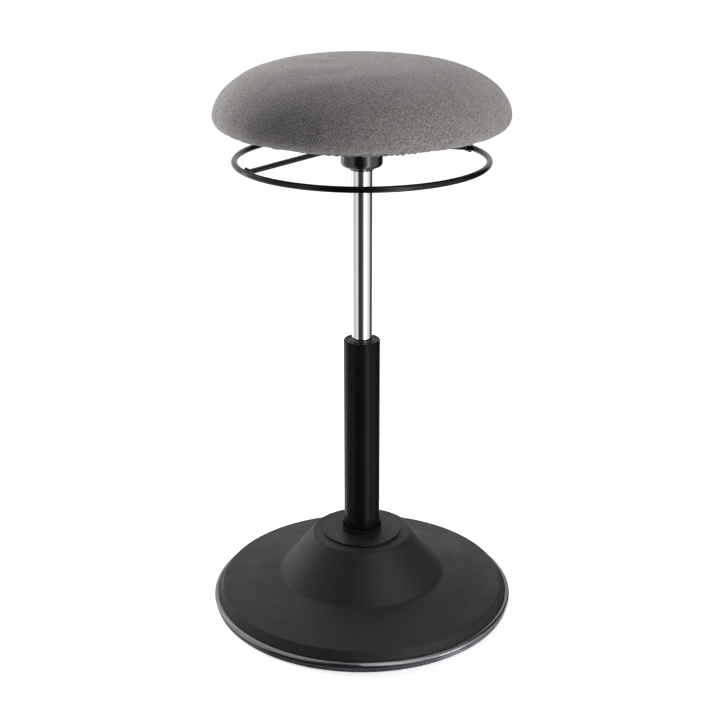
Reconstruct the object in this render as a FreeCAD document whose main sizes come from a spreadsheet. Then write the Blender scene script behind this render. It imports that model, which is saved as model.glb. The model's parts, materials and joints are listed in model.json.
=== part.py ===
"""Wobble stool: weighted flat base, gas lift on a tilting ball mount, release ring, round seat.

Origin: centre of the floor ring's lower face. +Z up, -Y is the photographed side. Millimetres.
The release bar lies along U, a level axis turned by bar_turn from +X. V is square to it.
"""
import FreeCAD, Part
import math
import os

import Sketcher

SIZES = [
    # base
    ("base_diameter", 426.0, "widest size, over the trim ring"),
    ("floor_ring_height", 7.3, "rubber band, floor to trim ring"),
    ("floor_ring_inset", 1.0, "rubber band behind the trim ring, at its top"),
    ("floor_ring_flare", 2.0, "how far the rubber band draws in towards the floor"),
    ("floor_band_wall", 6.0, "rubber outside the plate's edge"),
    ("floor_pad_thick", 3.0, "rubber under the plate"),
    ("floor_pad_width", 26.0, "width of the rubber on the floor"),
    ("floor_groove", 1.2, "depth and half width of the grooves in the rubber"),
    ("plate_thick", 8.0, "steel base plate"),
    ("trim_height", 6.6, "silver trim ring"),
    ("trim_wall", 5.0, "trim ring, inside to widest point"),
    ("seam", 0.3, "gap between pieces that lie one on another"),
    ("cover_lip_inset", 6.0, "cover's foot behind the widest point of the trim ring"),
    ("cover_lip_height", 3.0, "upright part of the cover's foot"),
    ("cover_chamfer_run", 7.0, "chamfer, from the lip in to the outer crease"),
    ("cover_chamfer_rise", 12.4, "chamfer, from the lip up to the outer crease"),
    ("cover_crease_radius", 117.3, "crease between skirt and cone"),
    ("cover_skirt_rise", 15.2, "skirt, from the outer crease up to that crease"),
    ("cover_top_radius", 69.5, "flat top of the cone"),
    ("cover_cone_rise", 61.1, "cone, from the crease up to the flat top"),
    ("cover_hole_room", 2.8, "room round the tilted tube in the cover's hole"),
    ("cover_wall", 2.8, "moulded wall"),
    ("cover_edge_round", 4.0, "rounding of the cone's upper edge"),
    ("cover_crease_round", 6.0, "rounding of the crease"),
    ("rib_thick", 2.4, "ribs under the skirt"),
    ("rib_count", 12.0, "ribs under the skirt"),
    ("rib_inner_radius", 104.0, "where the ribs start"),
    ("boss_radius", 5.5, "screw bosses under the skirt"),
    ("cover_screw_circle", 165.0, "radius of the ring of cover screws"),
    ("cover_screw_radius", 2.0, "cover screws, shank"),
    ("cover_screw_head", 4.2, "cover screws, head radius"),
    ("cover_screw_length", 15.0, "cover screws, under the head"),
    ("cover_screw_count", 6.0, "cover screws"),
    # tilting mount
    ("pivot_rise", 39.0, "centre of the ball mount above the plate"),
    ("ball_radius", 36.0, "ball of the tapered socket"),
    ("rubber_wall", 13.7, "rubber between ball and housing"),
    ("rubber_half_height", 19.5, "half height of the rubber bush"),
    ("mount_gap", 0.3, "play between ball, rubber and housing"),
    ("housing_half_height", 22.0, "half height of the spherical seat"),
    ("housing_wall", 13.7, "wall of the housing outside the spherical seat"),
    ("housing_flange", 20.0, "width of the housing's foot flange"),
    ("housing_flange_thick", 6.0, "thickness of that flange"),
    ("housing_bolt_radius", 4.0, "bolts of the foot flange"),
    ("housing_bolt_count", 6.0, "bolts of the foot flange"),
    ("retainer_screw_radius", 2.5, "screws that clamp the retainer"),
    ("retainer_screw_count", 6.0, "screws that clamp the retainer"),
    ("retainer_screw_grip", 14.0, "thread of those screws in the housing"),
    ("socket_wall", 3.0, "wall of the tapered socket"),
    ("socket_below_pivot", 26.0, "lower end of the socket"),
    ("socket_above_pivot", 40.0, "upper end of the socket"),
    ("tilt_limit", 6.0, "degrees to each side, front to back and side to side"),
    # cover disc
    ("glide_thick", 0.8, "floating glide washer"),
    ("glide_inner_radius", 33.0, "glide washer"),
    ("glide_outer_radius", 48.0, "glide washer"),
    ("slide_gap", 0.05, "play between flat faces that slide"),
    ("disc_radius", 54.6, "cover disc"),
    ("disc_thick", 2.2, "cover disc"),
    ("neck_height", 8.0, "neck of the cover disc above its face"),
    ("neck_wall", 1.1, "wall of the neck"),
    ("neck_play", 0.6, "radial play of the neck round the tube at full tilt"),
    # gas lift
    ("tube_diameter", 50.0, "outer tube"),
    ("tube_wall", 2.0, "outer tube"),
    ("tube_below_pivot", 22.0, "lower end of the outer tube"),
    ("tube_rim_round", 1.8, "rolled rim of the outer tube"),
    ("tube_line_drop", 4.2, "turned line below the outer tube's upper end"),
    ("tube_line_width", 0.8, "turned line round the outer tube"),
    ("tube_line_depth", 0.35, "turned line round the outer tube"),
    ("tube_taper", 0.8, "how far the tube narrows, in radius, inside the socket"),
    ("taper_play", 0.04, "radial play of a pressed taper"),
    ("end_plate_thick", 3.5, "plate in the tube's foot"),
    ("post_diameter", 28.0, "chrome pressure tube"),
    ("post_wall", 2.0, "pressure tube"),
    ("bottoming_room", 12.26, "room between bumper and pressure tube, seat lowered"),
    ("hub_room", 4.5, "room between the hub's collar and the tube's rim, seat lowered"),
    ("post_past_bush", 5.56, "pressure tube below the guide bush, seat raised"),
    ("post_taper", 0.6, "how far the pressure tube narrows, in radius, inside the hub"),
    ("stroke", 230.0, "height range of the seat: the lengths of both tubes follow it"),
    ("bush_play", 0.05, "running play of the guide bush"),
    ("bush_length", 84.5, "guide bush"),
    ("bush_groove", 1.2, "depth of the relief grooves round the bush"),
    ("bush_lip", 1.4, "thickness of the bush's upper lip"),
    ("bush_collar_wall", 1.9, "collar of the bush round the pressure tube"),
    ("bush_collar_rise", 0.9, "collar of the bush above its lip"),
    ("dimple_radius", 1.3, "dimples in the bush's lip"),
    ("dimple_circle", 18.9, "radius of the ring of dimples"),
    ("dimple_depth", 1.6, "dimples in the bush's lip"),
    ("dimple_count", 12.0, "dimples in the bush's lip"),
    ("rod_diameter", 10.0, "piston rod"),
    ("rod_neck_diameter", 8.0, "ends of the piston rod"),
    ("rod_play", 0.05, "running play of the rod in its guide"),
    ("rod_tail", 7.0, "rod below the tube's foot"),
    ("clip_thick", 1.2, "clip on the rod's foot"),
    ("clip_radius", 8.0, "clip on the rod's foot"),
    ("clip_groove", 0.8, "depth of the clip's groove in the rod"),
    ("rod_washer_thick", 2.5, "washer between clip and end plate"),
    ("race_thick", 1.8, "washers of the thrust bearing"),
    ("race_radius", 13.0, "washers of the thrust bearing"),
    ("bearing_ball_diameter", 3.6, "balls of the thrust bearing"),
    ("bearing_ball_count", 10.0, "balls of the thrust bearing"),
    ("bearing_ball_circle", 9.2, "radius of the ring of balls"),
    ("bearing_play", 0.02, "play of the balls between the washers"),
    ("cage_thick", 1.4, "cage of the thrust bearing"),
    ("cage_play", 0.15, "room of each ball in the cage"),
    ("bumper_length", 19.0, "rubber bumper on the rod"),
    ("bumper_radius", 11.0, "rubber bumper on the rod"),
    ("post_closure", 2.8, "turned-in foot of the pressure tube"),
    ("rod_guide_length", 12.0, "guide of the rod in the pressure tube"),
    ("rod_seal_length", 5.0, "seal above the guide"),
    ("piston_length", 12.0, "piston"),
    ("piston_nut_length", 5.0, "nut on the piston"),
    ("piston_nut_radius", 7.0, "nut on the piston"),
    ("piston_lift", 5.0, "room between seal and piston, seat raised"),
    ("gas_gap", 0.8, "gas passage between pressure tube and inner tube"),
    ("gas_tube_wall", 1.0, "inner tube of the gas spring"),
    ("valve_body_length", 34.0, "valve body in the post's head"),
    ("button_radius", 4.0, "release button"),
    ("button_length", 38.0, "release button with its pin"),
    ("button_dome", 5.0, "radius of the button's dome"),
    ("button_play", 0.05, "running play of the button in the valve body"),
    ("button_lead", 0.6, "button travel beyond the lever arm, for one radian of the bar"),
    # hub
    ("hub_taper_length", 21.0, "taper of the pressure tube in the hub"),
    ("hub_collar_wall", 1.8, "collar, at its foot"),
    ("hub_collar_flare", 1.5, "how far the collar widens, in radius, up to the cup"),
    ("hub_collar_height", 4.0, "collar"),
    ("hub_cup_radius", 27.7, "cup"),
    ("hub_cup_round", 6.5, "rounding under the cup"),
    ("hub_wall", 2.5, "wall of the cup"),
    ("hub_web", 5.0, "floor of the cup"),
    ("hub_boss_wall", 5.0, "boss round the pressure tube"),
    ("hub_height", 47.5, "collar's foot to the plate on the cup"),
    ("hub_plate_thick", 3.0, "plate on the cup"),
    ("hub_plate_radius", 72.0, "plate on the cup"),
    ("hub_screw_circle", 58.0, "radius of the ring of hub screws"),
    ("hub_screw_radius", 3.0, "hub screws"),
    ("hub_screw_head", 5.5, "hub screws, head radius"),
    ("hub_screw_head_height", 3.6, "hub screws, head"),
    ("hub_screw_count", 4.0, "hub screws"),
    ("hub_screw_turn", 45.0, "degrees from the release bar to the first hub screw"),
    # release ring
    ("ring_radius", 165.7, "middle line of the release ring"),
    ("ring_rod", 8.0, "rod of the release ring"),
    ("ring_drop", 17.0, "middle line of the release ring below the bar's underside over the button"),
    ("bar_turn", 27.0, "degrees from +X to the release bar"),
    ("bar_width", 10.0, "release bar"),
    ("bar_thick", 5.0, "release bar"),
    ("bar_edge_round", 1.4, "rounded long edges of the release bar"),
    ("bar_rise", 9.0, "underside of the bar above the pressure tube"),
    ("bar_flat_half", 26.0, "half length of the bar's level middle"),
    ("lever_arm", 20.0, "lever pin to button"),
    ("lever_pin_drop", 4.5, "lever pin below the underside of the bar"),
    ("lever_pin_radius", 2.0, "lever pin"),
    ("lever_pin_play", 0.05, "running play of the lever pin"),
    ("lever_limit", 6.0, "degrees that the ring tips"),
    ("bracket_length", 8.0, "bracket under the bar"),
    ("bracket_depth", 7.5, "bracket under the bar"),
    ("lug_gap", 0.5, "side play of the bar between the lugs"),
    ("lug_thick", 4.0, "lugs that carry the lever pin"),
    ("lug_root", 1.0, "how deep the lugs start in the cup's floor"),
    ("lug_room", 1.1, "room between the lugs and the bar's underside"),
    ("slot_play", 0.6, "side room of the bar in the cup's slots"),
    ("slot_room", 2.4, "room under the tipped bar in the cup's slots"),
    ("end_plate_width", 16.0, "flattened plates at the bar's ends"),
    ("end_plate_height", 9.0, "flattened plates at the bar's ends"),
    ("end_plate_wall", 2.8, "flattened plates at the bar's ends"),
    # seat
    ("seat_crown_height", 68.1, "crown of the seat above its widest part"),
    ("seat_radius", 191.0, "widest part of the seat"),
    ("seat_waist_rise", 24.2, "widest part above the pan's underside"),
    ("seat_crown_power", 1.815, "roundness of the crown, upwards"),
    ("seat_shoulder_power", 3.215, "roundness of the crown, sideways"),
    ("seat_wrap", 6.0, "foam and fabric outside the pan's edge"),
    ("seat_under_bulge", 0.63, "fullness of the drawn-in side"),
    ("fabric_thick", 1.5, "seat cover"),
    ("pan_thick", 12.0, "seat pan"),
    ("pan_radius", 160.0, "seat pan"),
    ("pan_flat_radius", 100.0, "flat middle of the pan's underside"),
    ("pan_rise", 6.5, "how far the pan's underside rises at its edge"),
    ("hem_radius", 132.0, "middle line of the drawn-in hem"),
    ("hem_rod", 3.2, "radius of the hem's roll"),
    ("elastic_radius", 1.3, "elastic inside the hem"),
    ("nut_flange", 8.5, "tee nuts, flange radius"),
    ("nut_flange_thick", 1.6, "tee nuts, flange"),
    ("nut_barrel", 4.2, "tee nuts, barrel radius"),
    ("fit", 0.1, "clearance of a part that is dropped into its place"),
]

# Points of the crown's curve
CROWN_SPANS = 12

doc = FreeCAD.newDocument("wobble_stool")
sheet = doc.addObject("Spreadsheet::Sheet", "Sizes")


def fill_sheet():
    """One row for each driving dimension: its value, its alias and what it is."""
    for row, (alias, value, note) in enumerate(SIZES, start=1):
        sheet.set(f"A{row}", str(value))
        sheet.setAlias(f"A{row}", alias)
        sheet.set(f"B{row}", note)
    doc.recompute()


class Size:
    """A length with the formula that binds it to the sheet."""

    def __init__(self, value, formula):
        self.value = value
        self.formula = formula

    def join(self, other, sign, result):
        return Size(result, f"({self.formula} {sign} {words(other)})")

    def __add__(self, other):
        return self.join(other, "+", self.value + number(other))

    def __sub__(self, other):
        return self.join(other, "-", self.value - number(other))

    def __mul__(self, other):
        return self.join(other, "*", self.value * number(other))

    def __truediv__(self, other):
        return self.join(other, "/", self.value / number(other))

    def __rsub__(self, other):
        return Size(number(other) - self.value, f"({words(other)} - {self.formula})")

    def __neg__(self):
        return Size(-self.value, f"(0 - {self.formula})")

    __radd__ = __add__
    __rmul__ = __mul__


def number(item):
    return item.value if isinstance(item, Size) else float(item)


def words(item):
    return item.formula if isinstance(item, Size) else str(item)


def root(item):
    return Size(math.sqrt(item.value), f"sqrt({item.formula})")


def cosine(degrees):
    return Size(math.cos(math.radians(degrees.value)), f"cos({degrees.formula})")


def sine(degrees):
    return Size(math.sin(math.radians(degrees.value)), f"sin({degrees.formula})")


fill_sheet()
size = {alias: Size(float(sheet.get(alias)), f"Sizes.{alias}") for alias, _, _ in SIZES}


class Arc:
    """Marks an outline's point whose next edge is an arc about a centre."""

    def __init__(self, radius, centre):
        self.radius = radius
        self.centre = centre


def chord_half(radius, distance):
    """Half the chord of a circle at a distance from its centre."""
    return root(radius * radius - distance * distance)


def bind(item, name, length):
    """Sets a property of a document object from a size, and keeps it bound to the sheet."""
    if isinstance(length, Size):
        item.setExpression(name, length.formula)
    else:
        item.setExpression(name, str(length))


def origin_feature(body, role):
    return [item for item in body.Origin.OriginFeatures if item.Role == role][0]


def new_body(label):
    body = doc.addObject("PartDesign::Body", label)
    body.Label = label
    return body


def new_sketch(body, name, plane, offset=None):
    sketch = body.newObject("Sketcher::SketchObject", name)
    sketch.AttachmentSupport = [(origin_feature(body, plane), "")]
    sketch.MapMode = "FlatFace"
    if offset is not None:
        bind(sketch, "AttachmentOffset.Base.z", offset)
    return sketch


def pin_point(sketch, edge, end, across, up):
    """Fixes one point of a sketch at two sizes from the origin."""
    for kind, axis, place in (("DistanceX", -2, across), ("DistanceY", -1, up)):
        if abs(number(place)) < 1e-9:
            sketch.addConstraint(Sketcher.Constraint("PointOnObject", edge, end, axis))
            continue
        index = sketch.addConstraint(Sketcher.Constraint(kind, -1, 1, edge, end, number(place)))
        if isinstance(place, Size):
            sketch.setExpression(f"Constraints[{index}]", place.formula)


def edge_between(first, last, arc):
    """A sketch edge, with the ends at which it meets the first and the last point."""
    start = FreeCAD.Vector(number(first[0]), number(first[1]), 0)
    stop = FreeCAD.Vector(number(last[0]), number(last[1]), 0)
    if arc is None:
        return Part.LineSegment(start, stop), 1, 2
    middle = FreeCAD.Vector(number(arc.centre[0]), number(arc.centre[1]), 0)
    circle = Part.Circle(middle, FreeCAD.Vector(0, 0, 1), number(arc.radius))
    begin = math.atan2(start.y - middle.y, start.x - middle.x)
    end = math.atan2(stop.y - middle.y, stop.x - middle.x)
    if (end - begin) % (2 * math.pi) < math.pi:
        return Part.ArcOfCircle(circle, begin, end), 1, 2
    return Part.ArcOfCircle(circle, end, begin), 2, 1


def draw_outline(sketch, outline):
    """A closed outline. A point is (across, up), or (across, up, Arc) for the edge after it."""
    points = [point[:2] for point in outline]
    arcs = [point[2] if len(point) > 2 else None for point in outline]
    count = len(points)
    ends = []
    for index in range(count):
        following = points[(index + 1) % count]
        edge, first_end, last_end = edge_between(points[index], following, arcs[index])
        sketch.addGeometry(edge, False)
        ends.append((first_end, last_end))
    for index in range(count):
        following = (index + 1) % count
        meet = Sketcher.Constraint("Coincident", index, ends[index][1], following, ends[following][0])
        sketch.addConstraint(meet)
    for index in range(count):
        pin_point(sketch, index, ends[index][0], *points[index])
        if arcs[index] is not None:
            mark = Sketcher.Constraint("Radius", index, number(arcs[index].radius))
            place = sketch.addConstraint(mark)
            sketch.setExpression(f"Constraints[{place}]", words(arcs[index].radius))


def draw_circle(sketch, across, up, radius):
    middle = FreeCAD.Vector(number(across), number(up), 0)
    circle = Part.Circle(middle, FreeCAD.Vector(0, 0, 1), number(radius))
    index = sketch.addGeometry(circle, False)
    pin_point(sketch, index, 3, across, up)
    place = sketch.addConstraint(Sketcher.Constraint("Radius", index, number(radius)))
    sketch.setExpression(f"Constraints[{place}]", words(radius))


def turned(label, outline, body=None):
    """A piece turned on the Z axis from half its section, given as (radius, height) points."""
    body = body or new_body(label)
    sketch = new_sketch(body, f"{label}_section", "XZ_Plane")
    draw_outline(sketch, outline)
    turn = body.newObject("PartDesign::Revolution", f"{label}_turn")
    turn.Profile = sketch
    turn.ReferenceAxis = (sketch, ["V_Axis"])
    turn.Angle = 360
    body.Tip = turn
    doc.recompute()
    return body


def box_outline(low_across, high_across, low_up, high_up):
    return [(low_across, low_up), (high_across, low_up), (high_across, high_up), (low_across, high_up)]


def washer(label, inner, outer, foot, head):
    """A plain ring between two heights."""
    return turned(label, box_outline(inner, outer, foot, head))


def around(body, feature, name, count):
    """Repeats a feature of a body round the Z axis."""
    pattern = body.newObject("PartDesign::PolarPattern", name)
    pattern.Originals = [feature]
    pattern.Axis = (origin_feature(body, "Z_Axis"), [""])
    pattern.Angle = 360
    pattern.setExpression("Occurrences", words(count))
    body.Tip = pattern
    doc.recompute()
    return pattern


def drilled(body, name, radius, circle, head, depth, count=None, turn=None):
    """Round holes down from a height, at a distance from the axis, repeated round it."""
    before = body.Shape.Volume
    sketch = new_sketch(body, f"{name}_place", "XY_Plane", head)
    if turn is None:
        draw_circle(sketch, circle, 0, radius)
    else:
        draw_circle(sketch, circle * cosine(turn), circle * sine(turn), radius)
    hole = body.newObject("PartDesign::Pocket", name)
    hole.Profile = sketch
    bind(hole, "Length", depth)
    body.Tip = hole
    doc.recompute()
    if count is not None:
        around(body, hole, f"{name}_round", count)
    check_cut(body, before, name)


def check_cut(body, before, name):
    if body.Shape.Volume > before - 1e-3:
        raise RuntimeError(f"{name} cuts nothing")


def rounded(body, name, radius, circles):
    """Rounds the circular edges that lie at the given (radius, height) places."""
    doc.recompute()
    base = body.Tip
    found = []
    for index, edge in enumerate(base.Shape.Edges, start=1):
        if not isinstance(edge.Curve, Part.Circle):
            continue
        for across, up in circles:
            same_radius = abs(edge.Curve.Radius - number(across)) < 0.01
            if same_radius and abs(edge.Curve.Center.z - number(up)) < 0.01:
                found.append(f"Edge{index}")
    if not found:
        raise RuntimeError(f"{name} finds no edge")
    fillet = body.newObject("PartDesign::Fillet", name)
    fillet.Base = (base, found)
    bind(fillet, "Radius", radius)
    body.Tip = fillet
    doc.recompute()


def eased(body, name, radius, side):
    """Rounds the edges of a block's two faces that lie at a distance from its middle plane, y = 0."""
    doc.recompute()
    base = body.Tip
    found = []
    for index, edge in enumerate(base.Shape.Edges, start=1):
        if all(abs(abs(vertex.Y) - number(side)) < 0.01 for vertex in edge.Vertexes):
            if edge.BoundBox.YLength < 0.01:
                found.append(f"Edge{index}")
    if not found:
        raise RuntimeError(f"{name} finds no edge")
    fillet = body.newObject("PartDesign::Fillet", name)
    fillet.Base = (base, found)
    bind(fillet, "Radius", radius)
    body.Tip = fillet
    doc.recompute()


def padded(body, name, outline, plane, foot, length, cut=False, both_ways=False):
    """A straight pad or pocket of an outline, on a plane of the body at an offset."""
    before = body.Shape.Volume if body.Tip else 0
    sketch = new_sketch(body, f"{name}_outline", plane, foot)
    draw_outline(sketch, outline)
    kind = "PartDesign::Pocket" if cut else "PartDesign::Pad"
    feature = body.newObject(kind, name)
    feature.Profile = sketch
    bind(feature, "Length", length)
    if both_ways:
        feature.Midplane = True
    body.Tip = feature
    doc.recompute()
    if cut:
        check_cut(body, before, name)
    return feature


def screws(label, circle, count, section):
    """Equal screws, each turned on its own axis, round the Z axis. The section is (radius, height)."""
    body = new_body(label)
    sketch = new_sketch(body, f"{label}_section", "XZ_Plane")
    draw_outline(sketch, [(circle + across, up) for across, up in section])
    low = FreeCAD.Vector(number(circle), number(section[0][1]), 0)
    high = FreeCAD.Vector(number(circle), number(section[-1][1]), 0)
    axis = sketch.addGeometry(Part.LineSegment(low, high), True)
    pin_point(sketch, axis, 1, circle, section[0][1])
    pin_point(sketch, axis, 2, circle, section[-1][1])
    turn = body.newObject("PartDesign::Revolution", f"{label}_turn")
    turn.Profile = sketch
    turn.ReferenceAxis = (sketch, ["Axis0"])
    turn.Angle = 360
    body.Tip = turn
    doc.recompute()
    around(body, turn, f"{label}_round", count)
    return body


def primitive(kind, name, lengths, level=None):
    item = doc.addObject(kind, name)
    for property_name, length in lengths.items():
        bind(item, property_name, length)
    if level is not None:
        bind(item, "Placement.Base.z", level)
    return item


def boolean(kind, label, base, tool):
    item = doc.addObject(kind, label)
    item.Label = label
    item.Base = base
    item.Tool = tool
    doc.recompute()
    return item


def along_bar(item):
    """Turns a piece that is drawn along X so that it lies along the release bar."""
    item.Placement = FreeCAD.Placement(FreeCAD.Vector(), FreeCAD.Rotation(FreeCAD.Vector(0, 0, 1), 1))
    bind(item, "Placement.Rotation.Angle", size["bar_turn"])
    return item


# Levels and radii that several pieces share
base_radius = size["base_diameter"] / 2
band_top_radius = base_radius - size["floor_ring_inset"]
band_foot_radius = band_top_radius - size["floor_ring_flare"]
plate_radius = band_top_radius - size["floor_band_wall"]
plate_foot = size["floor_pad_thick"]
plate_top = plate_foot + size["plate_thick"]
seam = size["seam"]
pivot = plate_top + size["pivot_rise"]
cover_lip = base_radius - size["cover_lip_inset"]
cover_skirt = cover_lip - size["cover_chamfer_run"]
lip_foot = plate_top + size["fit"]
lip_top = lip_foot + size["cover_lip_height"]
skirt_top = lip_top + size["cover_chamfer_rise"]
crease_top = skirt_top + size["cover_skirt_rise"]
cone_top = crease_top + size["cover_cone_rise"]
rubber_inner = size["ball_radius"] + size["mount_gap"]
rubber_outer = rubber_inner + size["rubber_wall"]
seat_sphere = rubber_outer + size["mount_gap"]
housing_outer = seat_sphere + size["housing_wall"]
housing_mouth = chord_half(seat_sphere, size["housing_half_height"])
flange_radius = housing_outer + size["housing_flange"]
housing_bolt_circle = housing_outer + size["housing_flange"] / 2
retainer_screw_circle = seat_sphere + size["housing_wall"] * 0.6
retainer_top = pivot + size["housing_half_height"]
tube_radius = size["tube_diameter"] / 2
tube_bore = tube_radius - size["tube_wall"]
tube_foot = pivot - size["tube_below_pivot"]
tube_foot_radius = tube_radius - size["tube_taper"]
socket_foot = pivot - size["socket_below_pivot"]
socket_top = pivot + size["socket_above_pivot"]
socket_radius = tube_radius + size["socket_wall"]
diagonal_tilt = size["tilt_limit"] * root(Size(2.0, "2"))
tilt_slope = sine(diagonal_tilt) / cosine(diagonal_tilt)
hole_lean = (cone_top - pivot) * tilt_slope
hole_radius = tube_radius / cosine(diagonal_tilt) + hole_lean + size["cover_hole_room"]
disc_foot = cone_top + size["glide_thick"] + size["slide_gap"] * 2
disc_top = disc_foot + size["disc_thick"]
neck_half = (size["disc_thick"] + size["neck_height"]) / 2
neck_bore = tube_radius / cosine(diagonal_tilt) + neck_half * tilt_slope + size["neck_play"]
post_radius = size["post_diameter"] / 2
post_bore = post_radius - size["post_wall"]
rod_radius = size["rod_diameter"] / 2
rod_neck = size["rod_neck_diameter"] / 2
lower_race_foot = tube_foot + size["end_plate_thick"]
lower_race_top = lower_race_foot + size["race_thick"]
ball_level = lower_race_top + size["bearing_play"] + size["bearing_ball_diameter"] / 2
upper_race_foot = ball_level + size["bearing_ball_diameter"] / 2 + size["bearing_play"]
upper_race_top = upper_race_foot + size["race_thick"]
bumper_top = upper_race_top + size["bumper_length"]
post_foot = bumper_top + size["bottoming_room"] + size["stroke"]
bush_foot = post_foot + size["post_past_bush"]
bush_top = bush_foot + size["bush_length"]
rim_shoulder = bush_top + size["fit"]
tube_top = rim_shoulder + size["tube_rim_round"] * 1.3
post_top = tube_top + size["hub_room"] + size["stroke"] + size["hub_taper_length"]
gas_tube_radius = post_bore - size["gas_gap"]
hub_foot = post_top - size["hub_taper_length"]
hub_boss = post_radius + size["hub_boss_wall"]
hub_plate_foot = hub_foot + size["hub_height"]
hub_screw_angle = size["bar_turn"] + size["hub_screw_turn"]
guide_foot = post_foot + size["post_closure"]
guide_top = guide_foot + size["rod_guide_length"]
seal_top = guide_top + size["rod_seal_length"]
piston_foot = seal_top + size["piston_lift"]
piston_top = piston_foot + size["piston_length"]
nut_top = piston_top + size["piston_nut_length"]
valve_foot = post_top - size["valve_body_length"]
bar_under = post_top + size["bar_rise"]
ring_level = bar_under - size["ring_drop"]
pin_level = bar_under - size["lever_pin_drop"]
button_top = bar_under - size["fit"]
button_foot = button_top - size["button_length"]
plate_seat = hub_plate_foot - size["fit"]
pan_foot = hub_plate_foot + size["hub_plate_thick"]
pan_top = pan_foot + size["pan_thick"]
pan_slope = size["pan_rise"] / (size["pan_radius"] - size["pan_flat_radius"])
taper_run = socket_top - tube_foot
seat_waist = pan_foot + size["seat_waist_rise"]
seat_top = seat_waist + size["seat_crown_height"]
seat_under_radius = size["pan_radius"] + size["seat_wrap"]


def pan_under(radius):
    """Height of the pan's dished underside at a radius outside its flat middle."""
    return pan_foot + (radius - size["pan_flat_radius"]) * pan_slope


def cover_under(radius):
    """Height of the fabric's lower face where it lies under the pan."""
    return pan_under(radius) - seam - size["fabric_thick"]


def make_floor_ring():
    """Rubber ring with two grooves: its band covers the plate's edge, its pad carries the plate."""
    pad_inner = band_foot_radius - size["floor_pad_width"]
    groove = size["floor_groove"]
    third = size["floor_pad_width"] / 3
    inside = plate_radius + size["fit"]
    outline = [(pad_inner, 0)]
    for step in (1, 2):
        middle = pad_inner + third * step
        outline += [
            (middle - groove, 0),
            (middle - groove, groove),
            (middle + groove, groove),
            (middle + groove, 0),
        ]
    bulge = size["floor_ring_height"] * 2.5
    outline += [
        (band_foot_radius, 0, Arc(bulge, (band_top_radius - bulge, size["floor_ring_height"]))),
        (band_top_radius, size["floor_ring_height"]),
        (inside, size["floor_ring_height"]),
        (inside, plate_foot),
        (pad_inner, plate_foot),
    ]
    turned("floor_ring", outline)


def make_base_plate():
    """Steel disc with countersunk holes for the cover screws and tapped holes for the housing."""
    body = turned("base_plate", box_outline(0, plate_radius, plate_foot, plate_top))
    edges = [(plate_radius, plate_top), (plate_radius, plate_foot)]
    rounded(body, "base_plate_edge", size["plate_thick"] * 0.12, edges)
    top = plate_top + 1
    shank, circle, count = size["cover_screw_radius"], size["cover_screw_circle"], size["cover_screw_count"]
    play = size["fit"] * 2
    drilled(body, "cover_screw_hole", shank + play, circle, top, size["plate_thick"] + 2, count)
    drilled(body, "cover_screw_seat", size["cover_screw_head"] + play, circle,
            plate_foot + shank * 1.3, shank * 2, count)
    drilled(body, "housing_bolt_thread", size["housing_bolt_radius"], housing_bolt_circle,
            top, size["plate_thick"] + 2, size["housing_bolt_count"])


def make_trim_ring():
    """Half-round silver band with a ledge on the plate's edge."""
    foot = size["floor_ring_height"] + seam
    head = foot + size["trim_height"]
    middle = foot + size["trim_height"] * 0.52
    inner = base_radius - size["trim_wall"]
    bulge = size["trim_height"] * 0.62
    turned("trim_ring", [
        (plate_radius + seam, foot),
        (base_radius - size["trim_wall"] * 0.3, foot, Arc(bulge, (base_radius - bulge, middle))),
        (base_radius, middle, Arc(bulge, (base_radius - bulge, middle))),
        (base_radius - size["trim_wall"] * 0.55, head),
        (inner, head),
        (inner, plate_top - size["fit"] * 2),
        (plate_radius + seam, plate_top - size["fit"] * 2),
    ])


def skirt_level(radius):
    """Height of the skirt's upper face at a radius."""
    run = cover_skirt - size["cover_crease_radius"]
    return skirt_top + size["cover_skirt_rise"] * (cover_skirt - radius) / run


def make_base_cover():
    """Moulded cover: flat top with a hole, cone, sloping skirt, chamfer and lip, ribs and bosses beneath."""
    wall = size["cover_wall"]
    lip, skirt, crease, top = cover_lip, cover_skirt, size["cover_crease_radius"], size["cover_top_radius"]
    body = turned("base_cover", [
        (lip - wall, lip_foot),
        (lip, lip_foot),
        (lip, lip_top),
        (skirt, skirt_top),
        (crease, crease_top),
        (top, cone_top),
        (hole_radius, cone_top),
        (hole_radius, cone_top - wall),
        (top - wall, cone_top - wall),
        (crease - wall, crease_top - wall),
        (skirt - wall, skirt_top - wall),
        (lip - wall, lip_top),
    ])
    rounded(body, "cone_edge", size["cover_edge_round"], [(top, cone_top)])
    rounded(body, "crease_round", size["cover_crease_round"], [(crease, crease_top)])
    rounded(body, "skirt_round", size["cover_wall"] * 0.6, [(skirt, skirt_top)])
    outer = skirt - wall * 2
    inner = size["rib_inner_radius"] + wall
    rib = padded(body, "skirt_rib", [
        (inner, lip_foot + wall),
        (outer, lip_foot),
        (outer, skirt_level(outer) - wall * 0.5),
        (inner, skirt_level(inner) - wall * 0.5),
    ], "XZ_Plane", None, size["rib_thick"], both_ways=True)
    around(body, rib, "skirt_ribs", size["rib_count"])
    circle = size["cover_screw_circle"]
    sketch = new_sketch(body, "boss_place", "XY_Plane", lip_foot)
    draw_circle(sketch, circle, 0, size["boss_radius"])
    boss = body.newObject("PartDesign::Pad", "boss")
    boss.Profile = sketch
    bind(boss, "Length", skirt_level(circle + size["boss_radius"]) - lip_foot - wall * 0.4)
    body.Tip = boss
    doc.recompute()
    around(body, boss, "bosses", size["cover_screw_count"])
    drilled(body, "boss_pilot", size["cover_screw_radius"] * 1.02, circle,
            plate_foot + size["cover_screw_length"] + 2, size["cover_screw_length"],
            size["cover_screw_count"])


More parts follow.
